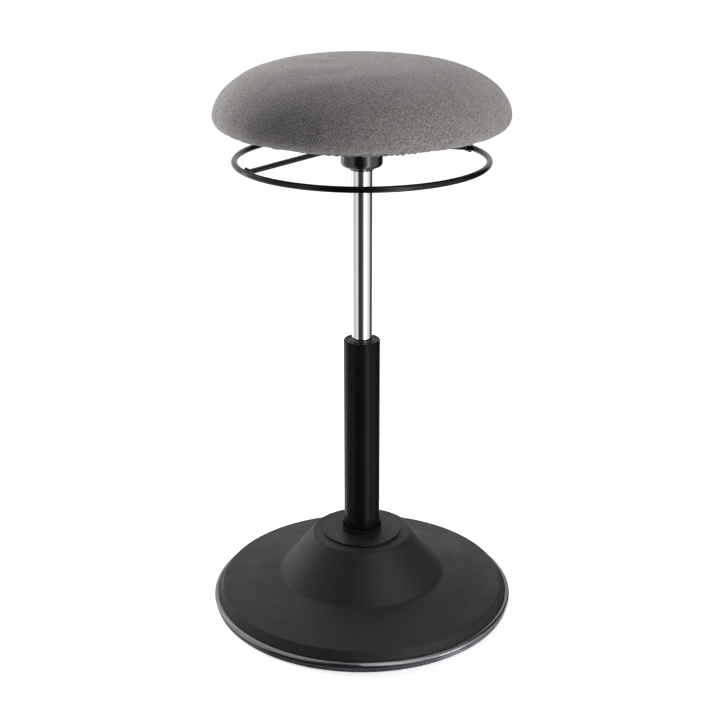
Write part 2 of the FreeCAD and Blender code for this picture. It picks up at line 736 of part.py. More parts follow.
def make_cover_screws():
    """Countersunk screws up through the plate into the cover's bosses."""
    shank, head = size["cover_screw_radius"], size["cover_screw_head"]
    foot = plate_foot + size["fit"] * 2
    body = screws("cover_screws", size["cover_screw_circle"], size["cover_screw_count"], [
        (0, foot),
        (head, foot),
        (shank, foot + (head - shank)),
        (shank, foot + size["cover_screw_length"]),
        (0, foot + size["cover_screw_length"] + shank * 0.6),
    ])
    return body


def make_mount():
    """Housing, retainer and rubber of the ball mount, with their bolts."""
    half = size["housing_half_height"]
    sphere = Arc(seat_sphere, (0, pivot))
    flange_top = plate_top + size["housing_flange_thick"]
    housing = turned("mount_housing", [
        (housing_mouth, plate_top),
        (flange_radius, plate_top),
        (flange_radius, flange_top),
        (housing_outer, flange_top),
        (housing_outer, pivot),
        (seat_sphere, pivot, sphere),
        (housing_mouth, pivot - half),
    ])
    rounded(housing, "housing_foot_round", size["housing_flange_thick"] * 0.5, [(housing_outer, flange_top)])
    bolt = size["housing_bolt_radius"]
    drilled(housing, "housing_bolt_hole", bolt + size["fit"] * 2, housing_bolt_circle, flange_top + 1,
            size["housing_flange_thick"] + 2, size["housing_bolt_count"])
    screw, grip = size["retainer_screw_radius"], size["retainer_screw_grip"]
    drilled(housing, "retainer_thread", screw, retainer_screw_circle, pivot + 1, grip + 3,
            size["retainer_screw_count"])
    retainer = turned("mount_retainer", [
        (seat_sphere, pivot),
        (housing_outer, pivot),
        (housing_outer, retainer_top),
        (housing_mouth, retainer_top, sphere),
    ])
    rounded(retainer, "retainer_round", size["housing_wall"] * 0.2, [(housing_outer, retainer_top)])
    drilled(retainer, "retainer_hole", screw + size["fit"] * 2, retainer_screw_circle, retainer_top + 1,
            half + 2, size["retainer_screw_count"])
    low = pivot - size["rubber_half_height"]
    high = pivot + size["rubber_half_height"]
    inner_end = chord_half(rubber_inner, size["rubber_half_height"])
    outer_end = chord_half(rubber_outer, size["rubber_half_height"])
    turned("rubber_mount", [
        (inner_end, low),
        (outer_end, low, Arc(rubber_outer, (0, pivot))),
        (outer_end, high),
        (inner_end, high, Arc(rubber_inner, (0, pivot))),
    ])
    screws("housing_bolts", housing_bolt_circle, size["housing_bolt_count"], [
        (0, plate_foot + size["fit"] * 2),
        (bolt - size["fit"], plate_foot + size["fit"] * 2),
        (bolt - size["fit"], flange_top),
        (bolt * 1.6, flange_top),
        (bolt * 1.6, flange_top + bolt * 1.2),
        (0, flange_top + bolt * 1.2),
    ])
    screws("retainer_screws", retainer_screw_circle, size["retainer_screw_count"], [
        (0, pivot - grip),
        (screw - size["fit"], pivot - grip),
        (screw - size["fit"], retainer_top),
        (screw * 1.7, retainer_top),
        (screw * 1.7, retainer_top + screw),
        (0, retainer_top + screw),
    ])


def make_ball_socket():
    """Steel ball on a sleeve whose tapered bore holds the outer tube."""
    foot, head = socket_foot, socket_top
    half = chord_half(size["ball_radius"], socket_radius)
    ball = Arc(size["ball_radius"], (0, pivot))
    play = size["taper_play"]
    foot_bore = tube_foot_radius + play - (tube_foot - foot) * size["tube_taper"] / taper_run
    turned("ball_socket", [
        (foot_bore, foot),
        (socket_radius, foot),
        (socket_radius, pivot - half, ball),
        (socket_radius, pivot + half),
        (socket_radius, head),
        (tube_radius + play, head),
    ])


def make_cover_disc():
    """Disc with a short neck that follows the tube, and the washer that it glides on."""
    glide_foot = cone_top + size["slide_gap"]
    glide_top = glide_foot + size["glide_thick"]
    washer("glide_washer", size["glide_inner_radius"], size["glide_outer_radius"], glide_foot, glide_top)
    neck = neck_bore + size["neck_wall"]
    neck_top = disc_top + size["neck_height"]
    disc = turned("cover_disc", [
        (neck_bore, disc_foot),
        (size["disc_radius"], disc_foot),
        (size["disc_radius"], disc_top),
        (neck, disc_top),
        (neck, neck_top),
        (neck_bore, neck_top),
    ])
    rounded(disc, "disc_edge", size["disc_thick"] * 0.4, [(size["disc_radius"], disc_top)])
    rounded(disc, "neck_edge", size["neck_wall"] * 0.4, [(neck, neck_top)])
    rounded(disc, "neck_root", size["neck_wall"] * 0.8, [(neck, disc_top)])


def make_outer_tube():
    """Tube with a tapered foot and a rolled rim, its end plate and the guide bush in its mouth."""
    roll = size["tube_rim_round"]
    rim = tube_radius - roll
    mouth = tube_bore - size["tube_rim_round"] * 0.33
    line_foot = tube_top - size["tube_line_drop"]
    line_head = line_foot + size["tube_line_width"]
    line_floor = tube_radius - size["tube_line_depth"]
    turned("outer_tube", [
        (tube_bore - size["tube_taper"], tube_foot),
        (tube_foot_radius, tube_foot),
        (tube_radius, socket_top),
        (tube_radius, line_foot),
        (line_floor, line_foot),
        (line_floor, line_head),
        (tube_radius, line_head),
        (tube_radius, tube_top - roll, Arc(roll, (rim, tube_top - roll))),
        (rim, tube_top),
        (mouth, tube_top),
        (mouth, tube_top - roll),
        (tube_bore, rim_shoulder),
        (tube_bore, socket_top),
    ])
    washer("tube_end_plate", rod_neck + size["fit"] * 3, tube_bore - size["tube_taper"] - size["fit"],
           tube_foot, lower_race_foot)
    inside = post_radius + size["bush_play"]
    outside = tube_bore - size["fit"] / 2
    waist = outside - size["bush_groove"]
    collar = size["bush_length"] / 9
    outline = [(inside, bush_foot), (outside, bush_foot)]
    for step in range(1, 9, 2):
        outline += [
            (outside, bush_foot + collar * step),
            (waist, bush_foot + collar * step),
            (waist, bush_foot + collar * (step + 1)),
            (outside, bush_foot + collar * (step + 1)),
        ]
    throat = mouth - size["fit"]
    lip = bush_top + size["bush_lip"]
    wall = inside + size["bush_collar_wall"]
    outline += [
        (outside, bush_top),
        (throat, bush_top),
        (throat, lip),
        (wall, lip),
        (wall, lip + size["bush_collar_rise"]),
        (inside, lip + size["bush_collar_rise"]),
    ]
    bush = turned("guide_bush", outline)
    drilled(bush, "lip_dimple", size["dimple_radius"], size["dimple_circle"], lip + 1,
            size["dimple_depth"] + 1, size["dimple_count"])


def make_bearing():
    """Thrust bearing at the tube's foot: two washers, a cage and its balls."""
    bore = rod_neck + size["fit"]
    washer("lower_race", bore + size["fit"] * 4, size["race_radius"], lower_race_foot, lower_race_top)
    washer("upper_race", bore, size["race_radius"], upper_race_foot, upper_race_top)
    circle = size["bearing_ball_circle"]
    ball = size["bearing_ball_diameter"] / 2
    cage_foot = ball_level - size["cage_thick"] / 2
    cage_head = cage_foot + size["cage_thick"]
    cage = washer("bearing_cage", circle - ball * 1.5, circle + ball * 1.7, cage_foot, cage_head)
    drilled(cage, "cage_hole", ball + size["cage_play"], circle, cage_foot + size["cage_thick"] * 2,
            size["cage_thick"] * 3, size["bearing_ball_count"])
    balls = []
    count = round(number(size["bearing_ball_count"]))
    for index in range(count):
        item = primitive("Part::Sphere", f"bearing_ball_{index}", {"Radius": ball}, ball_level)
        angle = Size(360.0 * index / count, f"(360 * {index} / {count})")
        bind(item, "Placement.Base.x", circle * cosine(angle))
        bind(item, "Placement.Base.y", circle * sine(angle))
        balls.append(item)
    group = doc.addObject("Part::Compound", "bearing_balls")
    group.Label = "bearing_balls"
    group.Links = balls
    doc.recompute()


def make_rod():
    """Piston rod with its clip, washer, bumper, piston and nut. It turns with the seat."""
    clip_head = tube_foot - size["fit"] - size["rod_washer_thick"]
    clip_foot = clip_head - size["clip_thick"]
    groove = rod_neck - size["clip_groove"]
    play = size["fit"]
    turned("piston_rod", [
        (0, tube_foot - size["rod_tail"]),
        (rod_neck, tube_foot - size["rod_tail"]),
        (rod_neck, clip_foot - play / 2),
        (groove, clip_foot - play / 2),
        (groove, clip_head + play / 2),
        (rod_neck, clip_head + play / 2),
        (rod_neck, upper_race_top),
        (rod_radius, upper_race_top),
        (rod_radius, piston_foot),
        (rod_neck, piston_foot),
        (rod_neck, nut_top + 1),
        (0, nut_top + 1),
    ])
    clip = washer("rod_clip", groove + play / 2, size["clip_radius"], clip_foot, clip_head)
    gap = size["clip_groove"] * 3
    padded(clip, "clip_mouth", box_outline(0, size["clip_radius"] * 2, -gap, gap), "XY_Plane",
           clip_head + 1, size["clip_thick"] + 2, cut=True)
    washer_radius = size["clip_radius"] + size["rod_washer_thick"]
    washer("rod_washer", rod_neck + play, washer_radius, clip_head, tube_foot - size["fit"])
    bumper = washer("rod_bumper", rod_radius + play, size["bumper_radius"], upper_race_top, bumper_top)
    rounded(bumper, "bumper_edge", size["bumper_radius"] * 0.2, [(size["bumper_radius"], bumper_top)])
    gas_bore = gas_tube_radius - size["gas_tube_wall"]
    ring_width = size["piston_length"] / 5
    piston_side = gas_bore - size["bush_play"]
    turned("piston", [
        (rod_neck + play, piston_foot),
        (piston_side, piston_foot),
        (piston_side, piston_foot + ring_width * 2),
        (piston_side - ring_width * 0.4, piston_foot + ring_width * 2),
        (piston_side - ring_width * 0.4, piston_foot + ring_width * 3),
        (piston_side, piston_foot + ring_width * 3),
        (piston_side, piston_top),
        (rod_neck + play, piston_top),
    ])
    nut = new_body("piston_nut")
    corners = []
    for step in range(6):
        angle = Size(60.0 * step, str(60 * step))
        corners.append((size["piston_nut_radius"] * cosine(angle), size["piston_nut_radius"] * sine(angle)))
    padded(nut, "nut_prism", corners, "XY_Plane", piston_top, size["piston_nut_length"])
    drilled(nut, "nut_bore", rod_neck + play, Size(0.0, "0"), nut_top + 1, size["piston_nut_length"] + 2)


def make_post():
    """Chrome pressure tube with its taper, and what it holds: guide, seal, inner tube, valve and button."""
    narrow = post_radius - size["post_taper"]
    closure = rod_radius + 1
    turned("pressure_tube", [
        (closure, post_foot),
        (post_radius - size["post_taper"], post_foot),
        (post_radius, post_foot + size["post_taper"]),
        (post_radius, hub_foot),
        (narrow, post_top),
        (post_bore - size["post_taper"], post_top),
        (post_bore - size["post_taper"], valve_foot),
        (post_bore, valve_foot - size["post_taper"] * 4),
        (post_bore, guide_foot),
        (closure, guide_foot),
    ])
    snug = post_bore - size["fit"]
    washer("rod_guide", rod_radius + size["rod_play"], snug, guide_foot, guide_top)
    washer("rod_seal", rod_radius + size["rod_play"], snug, guide_top, seal_top)
    washer("gas_cylinder", gas_tube_radius - size["gas_tube_wall"], gas_tube_radius,
           seal_top, valve_foot)
    pin_bore = size["button_radius"] + size["button_play"]
    travel = (size["lever_arm"] + size["button_lead"]) * sine(size["lever_limit"])
    bore_foot = button_foot - travel - size["seam"]
    turned("valve_body", [
        (0, valve_foot),
        (snug - size["post_taper"], valve_foot),
        (snug - size["post_taper"], post_top),
        (pin_bore, post_top),
        (pin_bore, bore_foot),
        (0, bore_foot),
    ])
    rim = button_top - size["button_dome"] + chord_half(size["button_dome"], size["button_radius"])
    turned("release_button", [
        (0, button_foot),
        (size["button_radius"], button_foot),
        (size["button_radius"], rim, Arc(size["button_dome"], (0, button_top - size["button_dome"]))),
        (0, button_top),
    ])


def make_hub():
    """Cup with collar, boss and lugs, slots for the bar, and the plate that the seat is screwed to."""
    foot, cup = hub_foot, size["hub_cup_radius"]
    collar = post_radius + size["hub_collar_wall"]
    collar_top = foot + size["hub_collar_height"]
    inner = cup - size["hub_wall"]
    floor = collar_top + size["hub_web"]
    play = size["taper_play"]
    hub = new_body("seat_hub")
    along_bar(hub)
    hub = turned("seat_hub", [
        (post_radius + play, foot),
        (collar, foot),
        (collar + size["hub_collar_flare"], collar_top),
        (cup, collar_top),
        (cup, plate_seat),
        (inner, plate_seat),
        (inner, floor),
        (hub_boss, floor),
        (hub_boss, post_top),
        (post_radius - size["post_taper"] + play, post_top),
    ], hub)
    rounded(hub, "cup_round", size["hub_cup_round"], [(cup, collar_top)])
    rounded(hub, "collar_round", size["hub_collar_height"] * 0.12, [(collar, foot)])
    side = size["bar_width"] / 2 + size["lug_gap"]
    half = size["bracket_length"] / 2
    arm = size["lever_arm"]
    lug_side = side + size["lug_thick"]
    lug_end = inner - size["hub_wall"] * 0.4
    lug_foot = floor - size["lug_root"]
    for name, near, far in (("left", side, lug_side), ("right", -lug_side, -side)):
        padded(hub, f"{name}_lug", box_outline(arm - half, lug_end, near, far), "XY_Plane",
               lug_foot, bar_under - size["lug_room"] - lug_foot)
    slot = size["bar_width"] / 2 + size["slot_play"]
    slot_foot = bar_under - (cup + arm) * sine(size["lever_limit"]) - size["slot_room"]
    slot_inner = inner - size["hub_wall"] * 0.5
    for name, low, high in (("far", slot_inner, cup + 1), ("near", -cup - 1, -slot_inner)):
        padded(hub, f"{name}_slot", box_outline(low, high, -slot, slot), "XY_Plane",
               plate_seat + 1, plate_seat + 1 - slot_foot, cut=True)
    sketch = new_sketch(hub, "pin_hole_place", "XZ_Plane")
    draw_circle(sketch, arm, pin_level, size["lever_pin_radius"] + size["fit"] / 5)
    hole = hub.newObject("PartDesign::Pocket", "pin_hole")
    hole.Profile = sketch
    hole.Midplane = True
    bind(hole, "Length", cup * 2)
    hub.Tip = hole
    doc.recompute()
    plate = washer("hub_plate", hub_boss, size["hub_plate_radius"], hub_plate_foot,
                   hub_plate_foot + size["hub_plate_thick"])
    screw = size["hub_screw_radius"]
    drilled(plate, "hub_screw_hole", screw + size["fit"] * 2, size["hub_screw_circle"],
            pan_foot + 1, size["hub_plate_thick"] + 2, size["hub_screw_count"], hub_screw_angle)


def make_hub_screws():
    """Screws up through the hub plate into tee nuts in the pan, and those nuts."""
    screw, head = size["hub_screw_radius"], size["hub_screw_head"]
    under = hub_plate_foot
    fit = size["fit"]
    low = under - size["hub_screw_head_height"]
    nut_low = pan_foot + fit * 3
    groups = [
        screws("hub_screws", size["hub_screw_circle"], size["hub_screw_count"], [
            (0, low), (head, low), (head, under), (screw, under), (screw, pan_top - 1), (0, pan_top - 1)]),
        screws("tee_nuts", size["hub_screw_circle"], size["hub_screw_count"], [
            (screw + fit, nut_low),
            (size["nut_barrel"], nut_low),
            (size["nut_barrel"], pan_top - size["nut_flange_thick"]),
            (size["nut_flange"], pan_top - size["nut_flange_thick"]),
            (size["nut_flange"], pan_top),
            (screw + fit, pan_top),
        ]),
    ]
    for group in groups:
        group.Placement = FreeCAD.Placement(FreeCAD.Vector(), FreeCAD.Rotation(FreeCAD.Vector(0, 0, 1), 1))
        bind(group, "Placement.Rotation.Angle", hub_screw_angle)


def make_release():
    """Ring, bar, end plates, bracket and pin of the height release."""
    ring = doc.addObject("Part::Torus", "release_ring")
    ring.Label = "release_ring"
    bind(ring, "Radius1", size["ring_radius"])
    bind(ring, "Radius2", size["ring_rod"] / 2)
    bind(ring, "Placement.Base.z", ring_level)
    thick = size["bar_thick"]
    flat = size["bar_flat_half"]
    tip = size["ring_radius"] - size["ring_rod"] / 2 - size["end_plate_wall"] - seam
    tip_foot = ring_level - thick / 2
    bar = along_bar(new_body("release_bar"))
    padded(bar, "bar_run", [
        (-tip, tip_foot),
        (-flat, bar_under),
        (flat, bar_under),
        (tip, tip_foot),
        (tip, tip_foot + thick),
        (flat, bar_under + thick),
        (-flat, bar_under + thick),
        (-tip, tip_foot + thick),
    ], "XZ_Plane", None, size["bar_width"], both_ways=True)
    eased(bar, "bar_edges", size["bar_edge_round"], size["bar_width"] / 2)
    wall, tall, wide = size["end_plate_wall"], size["end_plate_height"], size["end_plate_width"]
    plates = along_bar(new_body("bar_end_plates"))
    for name, low, high in (("far", tip, tip + wall), ("near", -tip - wall, -tip)):
        padded(plates, f"{name}_end_plate", box_outline(low, high, -wide / 2, wide / 2), "XY_Plane",
               ring_level - tall / 2, tall)
    arm, half = size["lever_arm"], size["bracket_length"] / 2
    bracket = along_bar(new_body("lever_bracket"))
    under = bar_under - size["bracket_depth"]
    padded(bracket, "bracket_block", box_outline(arm - half, arm + half, under, bar_under), "XZ_Plane", None,
           size["bar_width"], both_ways=True)
    sketch = new_sketch(bracket, "bracket_bore_place", "XZ_Plane")
    draw_circle(sketch, arm, pin_level, size["lever_pin_radius"] + size["lever_pin_play"])
    bore = bracket.newObject("PartDesign::Pocket", "bracket_bore")
    bore.Profile = sketch
    bore.Midplane = True
    bind(bore, "Length", size["bar_width"] * 2)
    bracket.Tip = bore
    pin = along_bar(new_body("lever_pin"))
    sketch = new_sketch(pin, "pin_section", "XZ_Plane")
    draw_circle(sketch, arm, pin_level, size["lever_pin_radius"])
    rod = pin.newObject("PartDesign::Pad", "pin_rod")
    rod.Profile = sketch
    rod.Midplane = True
    bind(rod, "Length", size["bar_width"] + (size["lug_gap"] + size["lug_thick"]) * 2)
    pin.Tip = rod
    doc.recompute()


def crown_level(radius, drop):
    """Height of the cushion's upper face at a radius, lowered by a thickness."""
    reach = number(size["seat_radius"]) - drop
    rise = number(seat_top) - number(seat_waist) - drop
    share = 1 - (radius / reach) ** number(size["seat_shoulder_power"])
    return number(seat_waist) + rise * max(share, 0) ** (1 / number(size["seat_crown_power"]))


def crown_curve(drop):
    """Half section of the crown, from the axis to the widest place, as one smooth curve."""
    reach = number(size["seat_radius"]) - drop
    points = []
    for step in range(CROWN_SPANS + 1):
        angle = math.pi / 2 * step / CROWN_SPANS
        radius = reach * math.sin(angle) ** (2 / number(size["seat_shoulder_power"]))
        points.append(FreeCAD.Vector(radius, 0, crown_level(radius, drop)))
    curve = Part.BSplineCurve()
    level, down = FreeCAD.Vector(1, 0, 0), FreeCAD.Vector(0, 0, -1)
    curve.interpolate(Points=points, InitialTangent=level, FinalTangent=down)
    return curve.toShape()


def side_curve(drop):
    """Half section of the drawn-in side, from the widest place down to the underside."""
    waist = FreeCAD.Vector(number(size["seat_radius"]) - drop, 0, number(seat_waist))
    end = FreeCAD.Vector(number(seat_under_radius), 0, number(cover_under(seat_under_radius)) + drop)
    pull = number(size["seat_under_bulge"])
    curve = Part.BezierCurve()
    fall = FreeCAD.Vector(0, 0, (end.z - waist.z) * pull)
    inward = FreeCAD.Vector(waist.x - end.x, 0, (waist.x - end.x) * number(pan_slope)) * pull
    curve.setPoles([waist, waist + fall, end + inward, end])
    return curve.toShape()


def revolve_wire(label, edges):
    """A solid turned on the Z axis from a closed half section."""
    face = Part.Face(Part.Wire(Part.__sortEdges__(edges)))
    solid = face.revolve(FreeCAD.Vector(), FreeCAD.Vector(0, 0, 1), 360)
    item = doc.addObject("Part::Feature", label)
    item.Label = label
    item.Shape = solid
    return item


def line(first, last):
    start = FreeCAD.Vector(first[0], 0, first[1])
    stop = FreeCAD.Vector(last[0], 0, last[1])
    return Part.LineSegment(start, stop).toShape()


def make_cushion():
    """Foam with its crown and drawn-in side, resting on the pan and round its edge."""
    drop = number(size["fabric_thick"]) + number(seam)
    crown, side = crown_curve(drop), side_curve(drop)
    top = (0, number(seat_top) - drop)
    under = (number(seat_under_radius), number(cover_under(seat_under_radius)) + drop)
    corner = (number(size["pan_radius"]) + number(seam), under[1])
    inner = (corner[0], number(pan_top) + number(seam))
    middle = (0, inner[1])
    revolve_wire("seat_cushion", [crown, side, line(under, corner), line(corner, inner), line(inner, middle),
                                  line(middle, top)])


def make_cover():
    """Fabric slip cover: over the crown, round the side and in under the pan to the hem."""
    thick = number(size["fabric_thick"])
    hem_end = size["hem_radius"] + size["hem_rod"]
    edge = (number(seat_under_radius), number(cover_under(seat_under_radius)))
    hem_foot = (number(hem_end), number(cover_under(hem_end)))
    hem_head = (number(hem_end), hem_foot[1] + thick)
    revolve_wire("seat_cover", [
        crown_curve(0), side_curve(0), line(edge, hem_foot), line(hem_foot, hem_head),
        line(hem_head, (edge[0], edge[1] + thick)), side_curve(thick), crown_curve(thick),
        line((0, number(seat_top) - thick), (0, number(seat_top))),
    ])


def make_pan():
    """Moulded pan with a dished underside and seats for the tee nuts."""
    edge_top = size["pan_thick"] * 0.2
    pan = turned("seat_pan", [
        (0, pan_foot),
        (size["pan_flat_radius"], pan_foot),
        (size["pan_radius"], pan_under(size["pan_radius"])),
        (size["pan_radius"], pan_top - edge_top),
        (size["pan_radius"] - edge_top, pan_top),
        (0, pan_top),
    ])
    circle, count, fit = size["hub_screw_circle"], size["hub_screw_count"], size["fit"]
    drilled(pan, "nut_bore_hole", size["nut_barrel"] + fit, circle, pan_top + 1,
            size["pan_thick"] + 2, count, hub_screw_angle)
    drilled(pan, "nut_flange_seat", size["nut_flange"] + fit, circle, pan_top + 1,
            size["nut_flange_thick"] + 1 + fit, count, hub_screw_angle)


def make_hem():
    """Rolled hem drawn in by an elastic."""
    level = pan_under(size["hem_radius"]) - seam - size["hem_rod"]
    lengths = {"Radius1": size["hem_radius"], "Radius2": size["hem_rod"]}
    hollow = {"Radius1": size["hem_radius"], "Radius2": size["elastic_radius"] + size["fit"]}
    roll = primitive("Part::Torus", "hem_roll", lengths, level)
    channel = primitive("Part::Torus", "hem_channel", hollow, level)
    boolean("Part::Cut", "seat_hem", roll, channel)
    elastic = primitive("Part::Torus", "hem_elastic",
                        {"Radius1": size["hem_radius"], "Radius2": size["elastic_radius"]}, level)
    elastic.Label = "hem_elastic"


NODES = [
    "floor_ring", "base_plate", "trim_ring", "base_cover", "cover_screws",
    "mount_housing", "mount_retainer", "housing_bolts", "retainer_screws", "rubber_mount", "ball_socket",
    "glide_washer", "cover_disc",
    "outer_tube", "tube_end_plate", "guide_bush", "lower_race", "bearing_cage", "bearing_balls", "upper_race",
    "piston_rod", "rod_clip", "rod_washer", "rod_bumper", "piston", "piston_nut",
    "pressure_tube", "rod_guide", "rod_seal", "gas_cylinder", "valve_body", "release_button",
    "seat_hub", "hub_plate", "hub_screws", "tee_nuts",
    "release_ring", "release_bar", "bar_end_plates", "lever_bracket", "lever_pin",
    "seat_pan", "seat_cushion", "seat_cover", "seat_hem", "hem_elastic",
]


def build():
    make_floor_ring()
    make_base_plate()
    make_trim_ring()
    make_base_cover()
    make_cover_screws()
    make_mount()
    make_ball_socket()
    make_cover_disc()
    make_outer_tube()
    make_bearing()
    make_rod()
    make_post()
    make_hub()
    make_hub_screws()
    make_release()
    make_cushion()
    make_cover()
    make_pan()
    make_hem()
    doc.recompute()


def check():
    """Stops if any object failed, or if a node is missing, empty or not valid."""
    for item in doc.Objects:
        if "Invalid" in item.State or "Error" in item.State:
            raise RuntimeError(f"{item.Name} failed: {item.State}")
    for node in NODES:
        shape = doc.getObjectsByLabel(node)[0].Shape
        if shape.isNull() or not shape.isValid() or not shape.Solids:
            raise RuntimeError(f"{node} has no valid solid")


def export():
    os.makedirs("parts", exist_ok=True)
    for node in NODES:
        shape = doc.getObjectsByLabel(node)[0].Shape
        shape.exportStep(f"parts/{node}.step")
        box = shape.BoundBox
        print(f"{node}: {len(shape.Solids)} solids, {shape.Volume / 1000:.1f} cm3, "
              f"z {box.ZMin:.1f} to {box.ZMax:.1f}, x {box.XMin:.1f} to {box.XMax:.1f}")


build()
check()
export()
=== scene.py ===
"""Looks of the wobble stool: finishes, upholstery, studio and camera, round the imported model.

Metres, apart from the upholstery's sizes, which are in millimetres. +Z is up, -Y is the photographed
side and +X is to its right. The stool stands at the origin, on the floor at z = 0.
"""
import json
import math
import random

import bmesh
import bpy
import numpy as np
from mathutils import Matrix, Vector, kdtree


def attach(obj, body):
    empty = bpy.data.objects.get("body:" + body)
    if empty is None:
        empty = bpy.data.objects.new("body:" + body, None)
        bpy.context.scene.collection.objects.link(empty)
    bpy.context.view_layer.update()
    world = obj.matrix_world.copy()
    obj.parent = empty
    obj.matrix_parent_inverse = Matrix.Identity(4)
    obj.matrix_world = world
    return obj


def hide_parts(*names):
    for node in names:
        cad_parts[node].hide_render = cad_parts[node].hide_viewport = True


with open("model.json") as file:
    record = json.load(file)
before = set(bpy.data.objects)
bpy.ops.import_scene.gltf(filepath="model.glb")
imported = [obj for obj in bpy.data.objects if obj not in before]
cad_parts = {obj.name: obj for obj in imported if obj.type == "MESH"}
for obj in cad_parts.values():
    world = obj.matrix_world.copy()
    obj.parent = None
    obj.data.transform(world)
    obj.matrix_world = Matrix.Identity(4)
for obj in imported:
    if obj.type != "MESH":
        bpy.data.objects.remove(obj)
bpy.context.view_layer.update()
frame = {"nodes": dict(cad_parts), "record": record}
nodes = frame["nodes"]
MM = 0.001
FULL_TURN = 2 * math.pi


# Camera

# Pitch in degrees below level, sensor and focal length in millimetres, shift as a share of the frame
CAMERA_PLACE = (0.0, -1.8186, 1.041)
CAMERA_PITCH = 20.56
SENSOR = 36.0
FOCAL = 70.6
SHIFT = (-0.0006, 0.0007)


def add_camera():
    data = bpy.data.cameras.new("camera")
    data.sensor_width = SENSOR
    data.lens = FOCAL
    data.shift_x, data.shift_y = SHIFT
    data.clip_start, data.clip_end = 0.05, 60.0
    camera = bpy.data.objects.new("camera", data)
    camera.location = CAMERA_PLACE
    camera.rotation_euler = (math.radians(90.0 - CAMERA_PITCH), 0.0, 0.0)
    bpy.context.scene.collection.objects.link(camera)
    bpy.context.scene.camera = camera


# Studio

# Lamps: name, azimuth in degrees from the camera's side to the right, height, distance, size, watts
LAMPS = [
    ("left_panel", -121.0, 1.0, 2.0, (1.0, 1.0), 64.0),
    ("left_back_panel", -145.0, 0.95, 2.0, (1.0, 1.0), 13.0),
    ("back_panel", 172.0, 1.9, 1.6, (1.0, 1.0), 14.0),
    ("top_panel", 60.0, 2.6, 0.25, (1.0, 1.0), 8.5),
    ("right_panel", 55.0, 1.0, 2.1, (1.0, 1.0), 39.0),
]
LAMP_AIM = Vector((0.0, 0.0, 0.45))

# What shines sees round the stool, by azimuth from the camera's side: pale walls, the dark room
# behind the camera, a bright panel to its right, a narrow one behind the stool on the left and a
# dark screen behind it on the right. Each pair is an azimuth in degrees and a brightness.
STUDIO_WALLS = [
    (-180, 0.82), (-150, 0.85), (-127, 0.95), (-124, 3.0), (-120, 3.0), (-117, 0.85), (-99, 0.76),
    (-84, 0.56), (-70, 0.7), (-57, 0.95), (-45, 0.72), (-36, 0.07), (-22, 0.035), (0, 0.05),
    (9, 0.09), (20, 0.85), (28, 1.3), (33, 4.0), (39, 4.0), (45, 1.5), (57, 1.05),
    (70, 0.82), (86, 0.8), (99, 0.3), (109, 0.02), (138, 0.02), (150, 0.8),
]
HIGHEST_WALL = max(level for _, level in STUDIO_WALLS)
EVEN_LIGHT = 0.045

# The floor glows a little for the camera, more from its near distance to its far one
FLOOR_COLOUR = 0.86
FLOOR_NEAR, FLOOR_FAR = 0.7, 3.2
FLOOR_NEAR_LIFT, FLOOR_FAR_LIFT = 0.50, 1.0
FLOOR_REACH = 30.0


def link(tree, output, item, socket):
    """Link an output to another node's input."""
    tree.links.new(output, item.inputs[socket])


def add_lamp(name, azimuth, height, distance, size, power):
    """A soft lamp. What shines sees the studio's walls in its place."""
    data = bpy.data.lights.new(name, "AREA")
    data.shape = "RECTANGLE"
    data.size, data.size_y = size
    data.energy = power
    lamp = bpy.data.objects.new(name, data)
    angle = math.radians(azimuth)
    lamp.location = (distance * math.sin(angle), -distance * math.cos(angle), height)
    lamp.rotation_euler = (LAMP_AIM - lamp.location).to_track_quat("-Z", "Y").to_euler()
    lamp.visible_glossy = False
    bpy.context.scene.collection.objects.link(lamp)


def wall_level(tree, place):
    """Brightness of the studio in the direction of a place, over the brightest wall's."""
    apart = tree.nodes.new("ShaderNodeSeparateXYZ")
    link(tree, place, apart, 0)
    back = tree.nodes.new("ShaderNodeMath")
    back.operation = "MULTIPLY"
    back.inputs[1].default_value = -1.0
    link(tree, apart.outputs["Y"], back, 0)
    azimuth = tree.nodes.new("ShaderNodeMath")
    azimuth.operation = "ARCTAN2"
    link(tree, apart.outputs["X"], azimuth, 0)
    link(tree, back.outputs[0], azimuth, 1)
    share = tree.nodes.new("ShaderNodeMapRange")
    share.inputs["From Min"].default_value = -math.pi
    share.inputs["From Max"].default_value = math.pi
    link(tree, azimuth.outputs[0], share, "Value")
    walls = tree.nodes.new("ShaderNodeFloatCurve")
    curve = walls.mapping.curves[0]
    points = [((angle + 180) / 360, level / HIGHEST_WALL) for angle, level in STUDIO_WALLS]
    points.append((1.0, points[0][1]))
    made_with = len(curve.points)
    for index, point in enumerate(points):
        if index < made_with:
            curve.points[index].location = point
        else:
            curve.points.new(*point)
    for point in curve.points:
        point.handle_type = "VECTOR"
    walls.mapping.update()
    link(tree, share.outputs[0], walls, "Value")
    return walls.outputs[0]


def mixed(tree, ray, first, second):
    """The second shader for one kind of ray, the first for the rest."""
    mix = tree.nodes.new("ShaderNodeMixShader")
    link(tree, ray, mix, 0)
    link(tree, first, mix, 1)
    link(tree, second, mix, 2)
    return mix.outputs[0]


